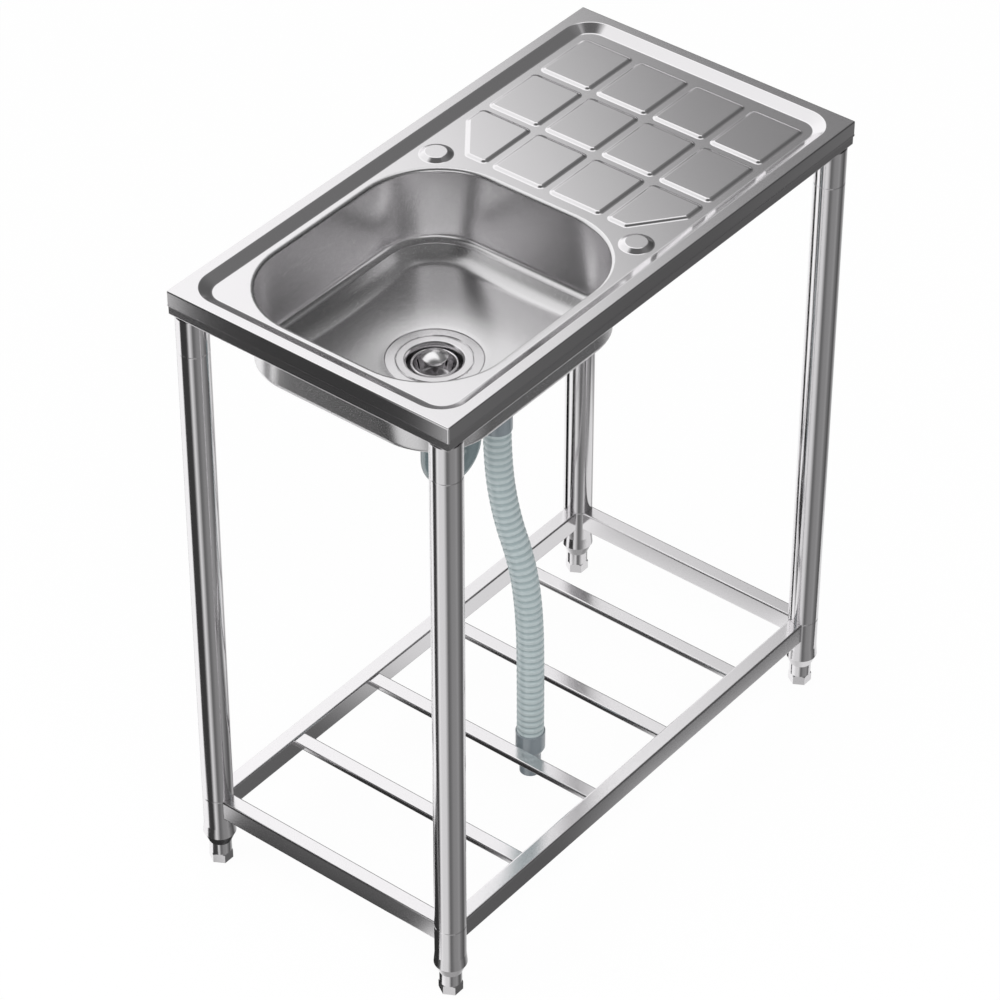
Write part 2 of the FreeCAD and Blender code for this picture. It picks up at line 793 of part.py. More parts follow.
# ---------------------------------------------------------------- hose
def hose_runs():
    """Straight runs and tangent arcs along the hose's points, each arc as large as its runs allow."""
    share = 0.45
    points = hose_points
    pieces = []
    here = points[0]
    for i in range(1, len(points) - 1):
        back = points[i - 1] - points[i]
        ahead = points[i + 1] - points[i]
        reach = share * min(back.Length, ahead.Length)
        back.normalize()
        ahead.normalize()
        half_turn = (math.pi - back.getAngle(ahead)) / 2
        radius = reach / math.tan(half_turn)
        start = points[i] + back * reach
        end = points[i] + ahead * reach
        middle = points[i] + (back + ahead).normalize() * radius * (1 / math.cos(half_turn) - 1)
        pieces.append(Part.LineSegment(here, start).toShape())
        pieces.append(Part.Arc(start, middle, end).toShape())
        print("hose bend", i, "radius", round(radius), "turn", round(math.degrees(2 * half_turn), 1))
        here = end
    pieces.append(Part.LineSegment(here, points[-1]).toShape())
    return pieces


def at_length(pieces, length):
    """Point and direction at a distance along the pieces."""
    for piece in pieces[:-1]:
        if length <= piece.Length:
            break
        length -= piece.Length
    else:
        piece = pieces[-1]
    parameter = piece.getParameterByLength(min(length, piece.Length))
    return piece.valueAt(parameter), piece.tangentAt(parameter)


def hose_circle(pieces, length, radius):
    """Circle square to the hose, its first point always towards +X."""
    centre, direction = at_length(pieces, length)
    side = direction.cross(V(1, 0, 0)).normalize()
    start = side.cross(direction)
    circle = Part.makeCircle(radius)
    circle.Placement = FreeCAD.Placement(centre, FreeCAD.Rotation(start, side * -1, direction * -1, "ZXY"))
    return Part.Wire(circle)


def drain_hose():
    pieces = hose_runs()
    total = sum(piece.Length for piece in pieces)
    ribs = int(total / hose_rib_pitch) - 1
    margin = (total - ribs * hose_rib_pitch) / 2
    wires = [hose_circle(pieces, 0, hose_root_radius)]
    for rib in range(ribs):
        for share, radius in (
            (rib_foot, hose_root_radius),
            (rib_crest, hose_radius),
            (1 - rib_crest, hose_radius),
            (1 - rib_foot, hose_root_radius),
        ):
            wires.append(hose_circle(pieces, margin + (rib + share) * hose_rib_pitch, radius))
    wires.append(hose_circle(pieces, total, hose_root_radius))
    mouth = Part.Wire(Part.makeCircle(hose_bore_radius, hose_points[0], V(0, 0, -1)))
    bore = Part.Wire(pieces).makePipe(Part.Face(mouth))
    print("hose length", round(total, 1), "ribs", ribs)
    expected = math.pi * hose_bore_radius ** 2 * total
    print("hose bore", round(bore.Volume), "section times length", round(expected))
    return ruled(wires).cut(bore)


def hose_adapter():
    """Reducing fitting on the hose's free end, with a spigot for a waste pipe."""
    end = hose_points[-1]
    socket = hose_radius + hose_clearance
    top = end.z + adapter_socket
    shoulder = end.z - adapter_shoulder
    neck = shoulder - adapter_cone
    bore = adapter_spigot_radius - adapter_wall
    return turned([
        (socket, end.z),
        (socket, top),
        (adapter_radius, top - adapter_bevel),
        (adapter_radius, shoulder),
        (adapter_spigot_radius, neck),
        (adapter_spigot_radius, neck - adapter_spigot_length),
        (bore, neck - adapter_spigot_length),
        (bore, end.z),
    ], end.x, end.y)


# ---------------------------------------------------------------- build
def main():
    os.makedirs("parts", exist_ok=True)
    export(sink_deck(), "sink_deck")
    export(sink_bowl(), "sink_bowl")
    for side, rail in top_rails().items():
        export(rail, "top_rail_" + side)
    for row, y in (("front", -leg_y), ("back", leg_y)):
        for end, x in (("left", -leg_x), ("right", leg_x)):
            corner = row + "_" + end
            export(leg_socket(x, y), "leg_socket_" + corner)
            export(leg_tube(x, y), "leg_tube_" + corner)
            export(shelf_corner(x, y), "shelf_corner_" + corner)
            export(foot_collar(x, y), "foot_collar_" + corner)
            export(foot(x, y), "foot_" + corner)
    for side, rail in shelf_rails().items():
        export(rail, "shelf_rail_" + side)
    for index in range(slat_count):
        export(shelf_slat(index), "shelf_slat_" + str(index + 1))
    export(strainer_flange(), "strainer_flange")
    export(strainer_gasket(), "strainer_gasket")
    export(strainer_body(), "strainer_body")
    export(strainer_screw(), "strainer_screw")
    export(basket_seal(), "basket_seal")
    export(strainer_basket(), "strainer_basket")
    export(basket_post(), "basket_post")
    export(basket_knob(), "basket_knob")
    export(trap(), "trap")
    export(trap_washer(), "trap_washer")
    export(trap_nut(), "trap_nut")
    export(hose_cuff(), "hose_cuff")
    export(drain_hose(), "drain_hose")
    export(hose_adapter(), "hose_adapter")


main()
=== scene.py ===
import bmesh
import bpy
import math
from mathutils import Matrix, Vector
from mathutils.geometry import delaunay_2d_cdt


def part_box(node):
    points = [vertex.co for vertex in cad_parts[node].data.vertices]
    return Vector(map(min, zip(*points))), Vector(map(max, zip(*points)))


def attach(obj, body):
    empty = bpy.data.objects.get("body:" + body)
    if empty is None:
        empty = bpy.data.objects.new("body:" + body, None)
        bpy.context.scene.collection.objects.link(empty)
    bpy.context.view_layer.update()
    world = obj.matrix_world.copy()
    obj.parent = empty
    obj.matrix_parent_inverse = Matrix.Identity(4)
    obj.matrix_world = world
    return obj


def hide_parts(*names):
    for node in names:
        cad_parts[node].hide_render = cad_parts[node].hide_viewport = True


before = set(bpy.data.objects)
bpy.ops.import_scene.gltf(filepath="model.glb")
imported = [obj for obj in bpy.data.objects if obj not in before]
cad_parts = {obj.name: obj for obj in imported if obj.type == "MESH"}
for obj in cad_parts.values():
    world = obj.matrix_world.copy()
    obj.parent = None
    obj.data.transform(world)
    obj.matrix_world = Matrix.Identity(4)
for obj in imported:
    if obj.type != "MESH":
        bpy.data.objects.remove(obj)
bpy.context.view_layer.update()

# ---- Top frame ------------------------------------------------------------
# Four rectangular steel tubes under the deck's edge, mitred and welded at the corners. They carry
# the deck and the bowl, and their outer faces stand just inside the deck's turned-down edge.
rail_width = 0.030
rail_radius = 0.0025
mitre_gap = 0.00005
guard = 0.0003           # flat strip kept beside every rounded edge, so that flats shade flat
arc_steps = 5
sharp_angle = math.radians(40)
steel_tint = (0.90, 0.885, 0.90, 1.0)
grain_detail = 3.0
drift_scale = 7.0
drift_detail = 2.0
drift_tone = 0.95        # brightness of the darker patches of a finish
noise_range = (0.3, 0.7)  # where most of a noise texture's values lie
frame_roughness = 0.16


def add(tree, kind, inputs=None, **settings):
    """A node with its settings; each input takes a value or another node's output."""
    made = tree.nodes.new(kind)
    for key, value in settings.items():
        setattr(made, key, value)
    for socket, value in (inputs or {}).items():
        if isinstance(value, bpy.types.NodeSocket):
            tree.links.new(value, made.inputs[socket])
        else:
            made.inputs[socket].default_value = value
    return made


def calc(tree, operation, one, two=None):
    """What a Math node makes of one or two values or outputs."""
    values = {0: one} if two is None else {0: one, 1: two}
    return add(tree, "ShaderNodeMath", values, operation=operation).outputs[0]


def mixed(tree, factor, one, two):
    """Mix of two colours, from the first at 0 to the second at 1; a number stands for a grey."""
    colours = [(value, value, value, 1.0) if isinstance(value, float) else value for value in (one, two)]
    return add(tree, "ShaderNodeMix", {"Factor": factor, 6: colours[0], 7: colours[1]}, data_type="RGBA").outputs[2]


def grained(name, tint, roughness, spread=0.03, grain=900.0, depth=0.00002, stretch=(1, 1, 1), metal=1.0, ior=1.5):
    """Finish with a fine grain in its roughness and relief, and a slow drift in its colour."""
    material = bpy.data.materials.new(name)
    material.use_nodes = True
    tree = material.node_tree
    shader = tree.nodes["Principled BSDF"]
    shader.inputs["Metallic"].default_value = metal
    shader.inputs["IOR"].default_value = ior
    place = add(tree, "ShaderNodeTexCoord").outputs["Object"]
    drawn = add(tree, "ShaderNodeMapping", {"Vector": place, "Scale": stretch}).outputs[0]
    fine = add(tree, "ShaderNodeTexNoise", {"Vector": drawn, "Scale": grain, "Detail": grain_detail}).outputs[0]
    slow = add(tree, "ShaderNodeTexNoise", {"Vector": place, "Scale": drift_scale, "Detail": drift_detail}).outputs[0]
    dull = add(tree, "ShaderNodeMapRange", {
        "Value": fine, "From Min": noise_range[0], "From Max": noise_range[1],
        "To Min": roughness - spread, "To Max": roughness + spread,
    }).outputs[0]
    drift = mixed(tree, slow, tint, [channel * drift_tone for channel in tint[:3]] + [1.0])
    bump = add(tree, "ShaderNodeBump", {"Strength": 1.0, "Distance": depth, "Height": fine})
    tree.links.new(drift, shader.inputs["Base Color"])
    tree.links.new(dull, shader.inputs["Roughness"])
    tree.links.new(bump.outputs[0], shader.inputs["Normal"])
    return material


def rounded_line(corners, closed=False):
    """Points of a profile of (across, height, radius) corners: an arc at each, a guard point beside it."""
    line = []
    for i, (across, height, radius) in enumerate(corners):
        here = Vector((across, height))
        if radius == 0 or not (closed or 0 < i < len(corners) - 1):
            line.append(here)
            continue
        back = Vector(corners[i - 1][:2]) - here
        ahead = Vector(corners[(i + 1) % len(corners)][:2]) - here
        half = back.angle(ahead) / 2
        reach = radius / math.tan(half)
        before = min(guard, max(0.0, back.length - reach) / 4)
        after = min(guard, max(0.0, ahead.length - reach) / 4)
        back.normalize()
        ahead.normalize()
        centre = here + (back + ahead).normalized() * radius / math.sin(half)
        start = here + back * reach - centre
        end = here + ahead * reach - centre
        turn = math.pi - 2 * half
        line.append(here + back * (reach + before))
        for step in range(arc_steps + 1):
            share = step / arc_steps
            swing = start * math.sin((1 - share) * turn) + end * math.sin(share * turn)
            line.append(centre + swing / math.sin(turn))
        line.append(here + ahead * (reach + after))
    return line


def skin(bm, loops, closed=False):
    """Joins loops of points, one after another, into a surface; a loop of one point is a pole."""
    rings = [[bm.verts.new(point) for point in loop] for loop in loops]
    pairs = list(zip(rings, rings[1:])) + ([(rings[-1], rings[0])] if closed else [])
    for one, two in pairs:
        for i in range(max(len(one), len(two))):
            a, b = one[i % len(one)], one[(i + 1) % len(one)]
            c, d = two[(i + 1) % len(two)], two[i % len(two)]
            bm.faces.new([v for k, v in enumerate((a, b, c, d)) if v not in (a, b, c, d)[:k]])
    return rings


def capped(bm, rings):
    """Closes both ends of a skin and turns its faces outwards."""
    bm.faces.new(rings[0])
    bm.faces.new(rings[-1])
    bmesh.ops.recalc_face_normals(bm, faces=bm.faces[:])


def piece(name, bm, material, slot, body, *nodes, sheet=0.0, offset=-1.0):
    """Finishes a mesh as a piece of the object that stands for the named solids. A sheet is thickened."""
    mesh = bpy.data.meshes.new(name)
    bm.to_mesh(mesh)
    bm.free()
    made = bpy.data.objects.new(name, mesh)
    bpy.context.scene.collection.objects.link(made)
    if sheet:
        modifier = made.modifiers.new("sheet", "SOLIDIFY")
        modifier.thickness = sheet
        modifier.offset = offset
        mesh = bpy.data.meshes.new_from_object(made.evaluated_get(bpy.context.evaluated_depsgraph_get()))
        made.modifiers.remove(modifier)
        made.data = mesh
    mesh.shade_smooth()
    mesh.set_sharp_from_angle(angle=sharp_angle)
    mesh.materials.clear()
    mesh.materials.append(material)
    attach(made, body)
    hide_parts(*nodes)
    return made


def tube_section(width, height, radius):
    """Outline of a rectangular tube, its middle at the origin."""
    across, up = width / 2, height / 2
    corners = [(-across, -up, radius), (across, -up, radius), (across, up, radius), (-across, up, radius)]
    return rounded_line(corners, closed=True)


frame_steel = grained("frame_steel", steel_tint, frame_roughness, grain=900.0, depth=0.000002)
for side, turn in (("front", 0), ("right", 90), ("back", 180), ("left", 270)):
    low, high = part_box("top_rail_" + side)
    along = 0 if turn % 180 == 0 else 1
    outer = high[1 - along] if side in ("back", "right") else -low[1 - along]
    end = high[along] - mitre_gap
    section = tube_section(rail_width, high[2] - low[2], rail_radius)
    middle = (high[2] + low[2]) / 2
    loops = []
    for way in (-1, 1):
        loop = [(way * (end - across - rail_width / 2), -outer + rail_width / 2 + across, middle + up)
                for across, up in section]
        loops.append([Matrix.Rotation(math.radians(turn), 3, "Z") @ Vector(point) for point in loop])
    bm = bmesh.new()
    capped(bm, skin(bm, loops))
    piece("mitred_rail_" + side, bm, frame_steel, "frame_steel", "stand", "top_rail_" + side)

# ---- Legs -----------------------------------------------------------------
# Round steel tube. A short socket is welded under each corner of the top frame, the long leg plugs
# into it, and its foot plugs into the corner tube that the shelf frame is welded to.
leg_turns = 96
leg_radius = 0.019
leg_wall = 0.0012
groove = 0.0006          # bevel on both sides of a joint in a leg
merge_distance = 1e-7
corner_names = [(row, end) for row in ("front", "back") for end in ("left", "right")]


def circle_of(count):
    """Unit circle as (across, up) points, evenly spaced from +X on."""
    angles = [2 * math.pi * i / count for i in range(count)]
    return [(math.cos(angle), math.sin(angle)) for angle in angles]


def turned(bm, line, x=0.0, y=0.0, count=leg_turns, closed=False):
    """Surface turned about an upright axis from (radius, height) points; radius 0 makes a pole."""
    circle = circle_of(count)
    return skin(bm, [
        [(x + radius * across, y + radius * up, height) for across, up in (circle if radius > 0 else circle[:1])]
        for radius, height in line
    ], closed)


def middle_of(node):
    """Middle of a solid's box, seen from above."""
    low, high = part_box(node)
    return (low[0] + high[0]) / 2, (low[1] + high[1]) / 2


tube_steel = grained(
    "tube_steel", steel_tint, 0.13, spread=0.02, grain=2500.0, depth=0.000001, stretch=(1, 1, 0.02))
for row, end in corner_names:
    corner = row + "_" + end
    shelf_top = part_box("shelf_corner_" + corner)[1][2]
    socket_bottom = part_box("leg_socket_" + corner)[0][2]
    for part, low, high, bevels in (
        ("leg_socket_", socket_bottom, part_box("leg_socket_" + corner)[1][2], (groove, 0)),
        ("leg_tube_", shelf_top, socket_bottom, (groove, groove)),
        ("shelf_corner_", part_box("shelf_corner_" + corner)[0][2], shelf_top, (0, groove)),
    ):
        inner = leg_radius - leg_wall
        below, above = bevels
        profile = [
            (inner, low, 0),
            (leg_radius - below, low, 0),
            (leg_radius, low + below, below),
            (leg_radius, high - above, above),
            (leg_radius - above, high, 0),
            (inner, high, 0),
        ]
        bm = bmesh.new()
        turned(bm, rounded_line(profile), *middle_of(part + corner), closed=True)
        bmesh.ops.remove_doubles(bm, verts=bm.verts[:], dist=merge_distance)
        piece("round_" + part + corner, bm, tube_steel, "tube_steel", "stand", part + corner)

# ---- Shelf frame ----------------------------------------------------------
# Four rectangular tubes between the legs, their ends cut to the round of the corner tubes, and four
# low flat tubes welded across them as slats.
shelf_rail_radius = 0.0020
slat_radius = 0.0020
slat_names = ["shelf_slat_" + str(number) for number in (1, 2, 3, 4)]

for side, along in (("front", 0), ("back", 0), ("left", 1), ("right", 1)):
    low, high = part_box("shelf_rail_" + side)
    across_middle = (low[1 - along] + high[1 - along]) / 2
    middle = (low[2] + high[2]) / 2
    reach = middle_of("leg_tube_back_right")[along]
    section = tube_section(high[1 - along] - low[1 - along], high[2] - low[2], shelf_rail_radius)
    loops = []
    for way in (-1, 1):
        loop = []
        for across, up in section:
            end = way * (reach - math.sqrt(leg_radius ** 2 - across ** 2))
            point = (end, across_middle + across) if along == 0 else (across_middle + across, end)
            loop.append((*point, middle + up))
        loops.append(loop)
    bm = bmesh.new()
    capped(bm, skin(bm, loops))
    piece("coped_rail_" + side, bm, frame_steel, "frame_steel", "stand", "shelf_rail_" + side)


def node_group(name, inputs):
    """Geometry node tree with a geometry input, these named inputs and a geometry output."""
    tree = bpy.data.node_groups.new(name, "GeometryNodeTree")
    tree.interface.new_socket("Geometry", in_out="INPUT", socket_type="NodeSocketGeometry")
    for socket, kind in inputs.items():
        tree.interface.new_socket(socket, in_out="INPUT", socket_type="NodeSocket" + kind)
    tree.interface.new_socket("Geometry", in_out="OUTPUT", socket_type="NodeSocketGeometry")
    return tree, add(tree, "NodeGroupInput").outputs


def finish_group(tree, geometry, material):
    """Ends a tree in plain mesh with its material."""
    real = add(tree, "GeometryNodeRealizeInstances", {"Geometry": geometry}).outputs[0]
    coated = add(tree, "GeometryNodeSetMaterial", {"Geometry": real, "Material": material}).outputs[0]
    add(tree, "NodeGroupOutput", {"Geometry": coated})


def grown(bm, tree, values):
    """The mesh that a tree makes of bm with these values, as a new bm."""
    mesh = bpy.data.meshes.new("seed")
    bm.to_mesh(mesh)
    bm.free()
    seed = bpy.data.objects.new("seed", mesh)
    bpy.context.scene.collection.objects.link(seed)
    modifier = seed.modifiers.new("grow", "NODES")
    modifier.node_group = tree
    for item in tree.interface.items_tree:
        if item.in_out == "INPUT" and item.name in values:
            modifier[item.identifier] = values[item.name]
    made = bpy.data.meshes.new_from_object(seed.evaluated_get(bpy.context.evaluated_depsgraph_get()))
    seed.modifiers.remove(modifier)
    bpy.data.objects.remove(seed)
    out = bmesh.new()
    out.from_mesh(made)
    return out


tree, given = node_group("slat_row", {"Count": "Int", "Pitch": "Float", "Material": "Material"})
step = add(tree, "ShaderNodeCombineXYZ", {"X": given["Pitch"]}).outputs[0]
row = add(tree, "GeometryNodeMeshLine", {"Count": given["Count"], "Offset": step}).outputs[0]
copies = add(tree, "GeometryNodeInstanceOnPoints", {"Points": row, "Instance": given["Geometry"]}).outputs[0]
finish_group(tree, copies, given["Material"])

low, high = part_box(slat_names[0])
slat_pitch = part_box(slat_names[1])[0][0] - low[0]
section = tube_section(high[0] - low[0], high[2] - low[2], slat_radius)
bm = bmesh.new()
capped(bm, skin(bm, [
    [((low[0] + high[0]) / 2 + across, y, (low[2] + high[2]) / 2 + up) for across, up in section]
    for y in (low[1], high[1])
]))
bm = grown(bm, tree, {"Count": len(slat_names), "Pitch": slat_pitch, "Material": frame_steel})
piece("shelf_slats", bm, frame_steel, "frame_steel", "stand", *slat_names)

# ---- Feet -----------------------------------------------------------------
# A turned collar with a flared rim is pressed into the bottom of each corner tube. The foot screws up
# into it: a plain round shank over a hexagon with chamfered corners for a spanner.
collar_rim_radius = 0.0202
collar_rim_drop = 0.015
collar_rim_round = 0.0006
collar_lip = 0.0008
collar_lip_round = 0.0004
collar_wall = 0.0006
collar_clearance = 0.0001
foot_radius = 0.0136
hex_radius = 0.0148
hex_height = 0.0135
hex_chamfer = 0.0016
hex_turn = math.pi / 3
foot_bevel = 0.0005

foot_steel = grained("foot_steel", steel_tint, 0.14, grain=1200.0, depth=0.000006)
for row, end in corner_names:
    corner = row + "_" + end
    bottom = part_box("foot_collar_" + corner)[0][2]
    x, y = middle_of("foot_" + corner)
    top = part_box("shelf_corner_" + corner)[0][2]
    rim = top - collar_rim_drop
    bm = bmesh.new()
    turned(bm, rounded_line([
        (foot_radius + collar_clearance, bottom, 0),
        (foot_radius + collar_wall, bottom, 0),
        (collar_rim_radius - collar_lip, rim - collar_lip, collar_lip_round),
        (collar_rim_radius, rim, collar_rim_round),
        (leg_radius, top, 0),
        (foot_radius + collar_clearance, top, 0),
    ]), x, y, closed=True)
    piece("flared_collar_" + corner, bm, foot_steel, "foot_steel", "stand", "foot_collar_" + corner)

    bm = bmesh.new()
    shank_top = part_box("foot_" + corner)[1][2]
    loops = []
    for inset, level in ((foot_bevel, 0.0), (0.0, foot_bevel), (0.0, hex_height)):
        loop = []
        for i in range(leg_turns):
            angle = 2 * math.pi * i / leg_turns
            radius = hex_radius * math.cos(hex_turn / 2) / math.cos(angle % hex_turn - hex_turn / 2)
            cut = max(0.0, radius - hex_radius + hex_chamfer) if level == hex_height else 0.0
            radius -= inset
            loop.append((x + radius * math.cos(angle), y + radius * math.sin(angle), level - cut))
        loops.append(loop)
    rings = skin(bm, loops)
    shank = turned(bm, rounded_line([
        (foot_radius - foot_bevel, hex_height, 0),
        (foot_radius, hex_height + foot_bevel, 0),
        (foot_radius, shank_top, 0),
    ]), x, y)
    for i in range(leg_turns):
        bm.faces.new((rings[-1][i - 1], rings[-1][i], shank[0][i], shank[0][i - 1]))
    capped(bm, [rings[0], shank[-1]])
    piece("levelling_foot_" + corner, bm, foot_steel, "foot_steel", "foot_" + corner + "_body", "foot_" + corner)

# ---- Deck -----------------------------------------------------------------
# One pressed steel sheet: a flat rim, its edge turned down and hemmed, a sunk field, twelve raised
# draining pads and two raised bosses for taps. It rests on the top frame.
deck_sheet = 0.0010
deck_edge_radius = 0.0018
hem_reach = 0.0005       # how far the folded lower edge stands out
hem_height = 0.0012
rim_width = 0.0145
recess_depth = 0.0075
recess_run = 0.0140
recess_corner_radius = 0.0370
recess_top_radius = 0.0030
recess_foot_radius = 0.0045
pad_columns = 3
pad_rows = 4
pad_gap = 0.0096
pad_bowl_gap = 0.0136
pad_end_gap = 0.0185
pad_side_gap = 0.0110
pad_height = 0.0022
pad_slope = 0.0036
pad_corner_radius = 0.0070
pad_foot_radius = 0.0045
pad_top_radius = 0.0045
pad_kept_x = 0.0300
pad_kept_y = 0.0280
boss_bowl_overlap = 0.0044
boss_side_gap = 0.0270
boss_base_radius = 0.0200
boss_top_radius = 0.0135
boss_height = 0.0040
boss_bend_radius = 0.0030
boss_turns = 64
mouth_radius = 0.1050
mouth_gap = 0.00005
mouth_steps = 16
flat_margin = 0.0016     # flat kept round each raised or sunk form before the plain field starts
sharp_radius = 0.0001
fill_tolerance = 1e-9

deck_low, deck_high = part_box("sink_deck")
bowl_low, bowl_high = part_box("sink_bowl")
top = deck_high[2]
deck_level = top - recess_depth
bowl_x = (bowl_low[0] + bowl_high[0]) / 2
mouth_half_length = (bowl_high[0] - bowl_low[0]) / 2
mouth_half_width = (bowl_high[1] - bowl_low[1]) / 2


def rectangle(half_x, half_y, x=0.0, y=0.0):
    return [(x - half_x, y - half_y), (x + half_x, y - half_y), (x + half_x, y + half_y), (x - half_x, y + half_y)]


def loop_of(corners, radius, inset, level, steps=8, parts=1):
    """Level loop through corners, drawn in by inset, each corner an arc and each side split in parts."""
    arcs = []
    for i, corner in enumerate(corners):
        here = Vector(corner)
        into = (here - Vector(corners[i - 1])).normalized()
        out = (Vector(corners[(i + 1) % len(corners)]) - here).normalized()
        turn = into.angle(out)
        inward = (out - into).normalized()
        rounding = max(radius - inset, sharp_radius)
        centre = here + inward * (inset + rounding) / math.cos(turn / 2)
        swings = [turn * (step / steps - 0.5) for step in range(steps + 1)]
        arcs.append([centre - Matrix.Rotation(swing, 2) @ inward * rounding for swing in swings])
    loop = []
    for arc, following in zip(arcs, arcs[1:] + arcs[:1]):
        loop += arc
        loop += [arc[-1].lerp(following[0], part / parts) for part in range(1, parts)]
    return [(*point, level) for point in loop]


def stack(bm, corners, radius, line, steps=8):
    """Surface of one outline's loops, one for each (inset, height) of the line."""
    return skin(bm, [loop_of(corners, radius, inset, height, steps) for inset, height in line])


def inside(point, ring):
    """Whether a point lies in a convex ring of vertices."""
    return all((two.co.xy - one.co.xy).cross(point - one.co.xy) > 0 for one, two in zip(ring, ring[1:] + ring[:1]))


def fill_flat(bm, outer, holes):
    """Fills the flat inside a ring of vertices and outside the other rings."""
    rings = [outer] + holes
    verts = [vert for ring in rings for vert in ring]
    edges = []
    for ring in rings:
        first = len(edges)
        edges += [(first + i, first + (i + 1) % len(ring)) for i in range(len(ring))]
    found = delaunay_2d_cdt([vert.co.xy for vert in verts], edges, [], 1, fill_tolerance)
    for corners in found[2]:
        corners = [verts[found[3][i][0]] for i in corners]
        middle = sum((vert.co.xy for vert in corners), Vector((0, 0))) / len(corners)
        if not any(inside(middle, hole) for hole in holes):
            face = bm.faces.new(corners)
            face.normal_update()
            if face.normal.z < 0:
                face.normal_flip()


deck_steel = grained("deck_steel", steel_tint, 0.135, spread=0.02, grain=900.0, depth=0.000002)
bm = bmesh.new()
whole = rectangle(deck_high[0], deck_high[1])
edge_rings = stack(bm, whole, deck_edge_radius, rounded_line([
    (-hem_reach, deck_low[2], 0),
    (-hem_reach, deck_low[2] + hem_height, 0),
    (0, deck_low[2] + hem_height, 0),
    (0, top, deck_edge_radius),
    (2 * deck_edge_radius, top, 0),
]))
recess_rings = stack(bm, rectangle(deck_high[0] - rim_width, deck_high[1] - rim_width), recess_corner_radius,
                     rounded_line([
                         (-flat_margin, top, 0),
                         (0, top, recess_top_radius),
                         (recess_run, deck_level, recess_foot_radius),
                         (recess_run + 2 * flat_margin, deck_level, 0),
                     ]), mouth_steps)
fill_flat(bm, edge_rings[-1], [recess_rings[0]])

field_half_length = deck_high[0] - rim_width - recess_run
field_half_width = deck_high[1] - rim_width - recess_run
pads_left = bowl_x + mouth_half_length + pad_bowl_gap
pad_length = (field_half_length - pad_end_gap - pads_left - (pad_columns - 1) * pad_gap) / pad_columns
pad_width = (2 * (field_half_width - pad_side_gap) - (pad_rows - 1) * pad_gap) / pad_rows
holes = []
for column in range(pad_columns):
    for row in range(pad_rows):
        left = pads_left + column * (pad_length + pad_gap)
        right = left + pad_length
        low = pad_side_gap - field_half_width + row * (pad_width + pad_gap)
        high = low + pad_width
        corners = [(left, low), (right, low), (right, high), (left, high)]
        if column == 0 and row == 0:
            corners[0:1] = [(left, high - pad_kept_y), (right - pad_kept_x, low)]
        if column == 0 and row == pad_rows - 1:
            corners[3:4] = [(right - pad_kept_x, high), (left, low + pad_kept_y)]
        rings = stack(bm, corners, pad_corner_radius, rounded_line([
            (-flat_margin, deck_level, 0),
            (0, deck_level, pad_foot_radius),
            (pad_slope, deck_level + pad_height, pad_top_radius),
            (pad_slope + flat_margin, deck_level + pad_height, 0),
        ]))
        bm.faces.new(rings[-1])
        holes.append(rings[0])
boss_x = bowl_x + mouth_half_length - boss_bowl_overlap
for way in (-1, 1):
    rings = turned(bm, rounded_line([
        (boss_base_radius + flat_margin, deck_level, 0),
        (boss_base_radius, deck_level, boss_bend_radius),
        (boss_top_radius, deck_level + boss_height, boss_bend_radius),
        (boss_top_radius - 2 * flat_margin, deck_level + boss_height, 0),
    ]), boss_x, way * (field_half_width - boss_side_gap), boss_turns)
    bm.faces.new(rings[-1])
    holes.append(rings[0])
mouth = rectangle(mouth_half_length, mouth_half_width, bowl_x)
mouth_ring = skin(bm, [loop_of(mouth, mouth_radius, -mouth_gap, deck_level, mouth_steps)])[0]
fill_flat(bm, recess_rings[-1], holes + [mouth_ring])
piece("pressed_deck", bm, deck_steel, "deck_steel", "stand", "sink_deck", sheet=deck_sheet)

# ---- Bowl -----------------------------------------------------------------
# Deep-drawn steel bowl, welded and dressed flush into the deck. The drawn walls keep a satin grain,
# above a narrow ledge, a short slope and a dished floor that falls to the drain.
bowl_sheet = 0.0010
lip = 0.0050
lip_radius = 0.0046
wall_taper_x = 0.0100
wall_taper_y = 0.0090
crease_corner_radius = 0.0780
crease_depth = 0.1055
crease_bend_radius = 0.0090
ledge_width = 0.0070
ledge_fall = 0.0005
ledge_edge_radius = 0.0030
slope_shown = 0.0060
slope_step = 0.0015
slope_reach = 0.0400
floor_blend = 0.0090
floor_depth = 0.1280
floor_fall = math.tan(math.radians(3.0))
floor_steps = 12
drain_radius = 0.0570
drain_edge_radius = 0.0008
drain_recess_depth = 0.0020
drain_recess_run = 0.0007
drain_hole_radius = 0.0460
side_parts = 12

crease_level = top - crease_depth
drain_level = top - floor_depth
wall_end = wall_taper_x + ledge_width + slope_shown


def bowl_loop(inset, level):
    """Loop of the bowl at this inset from its mouth; the corners tighten down the walls."""
    share = min(1.0, max(0.0, (inset - lip) / (wall_taper_x - lip)))
    inset_y = inset - share * (wall_taper_x - wall_taper_y)
    below = max(0.0, inset - wall_taper_x)
    radius = mouth_radius - min(inset, lip)
    radius += share * (crease_corner_radius - mouth_radius + lip) - below
    corners = rectangle(mouth_half_length - inset, mouth_half_width - inset_y, bowl_x)
    return loop_of(corners, radius, 0, level, mouth_steps, side_parts)


def floor_at(x, y, inset):
    """Height of the floor: the slope below the ledge runs smoothly into the dished bottom."""
    slope = crease_level - ledge_fall - (inset - wall_taper_x - ledge_width)
    bottom = drain_level + max(0.0, math.hypot(x - bowl_x, y) - drain_radius) * floor_fall
    meeting = max(floor_blend - abs(slope - bottom), 0.0) ** 2 / (4 * floor_blend)
    return max(slope, bottom) + meeting


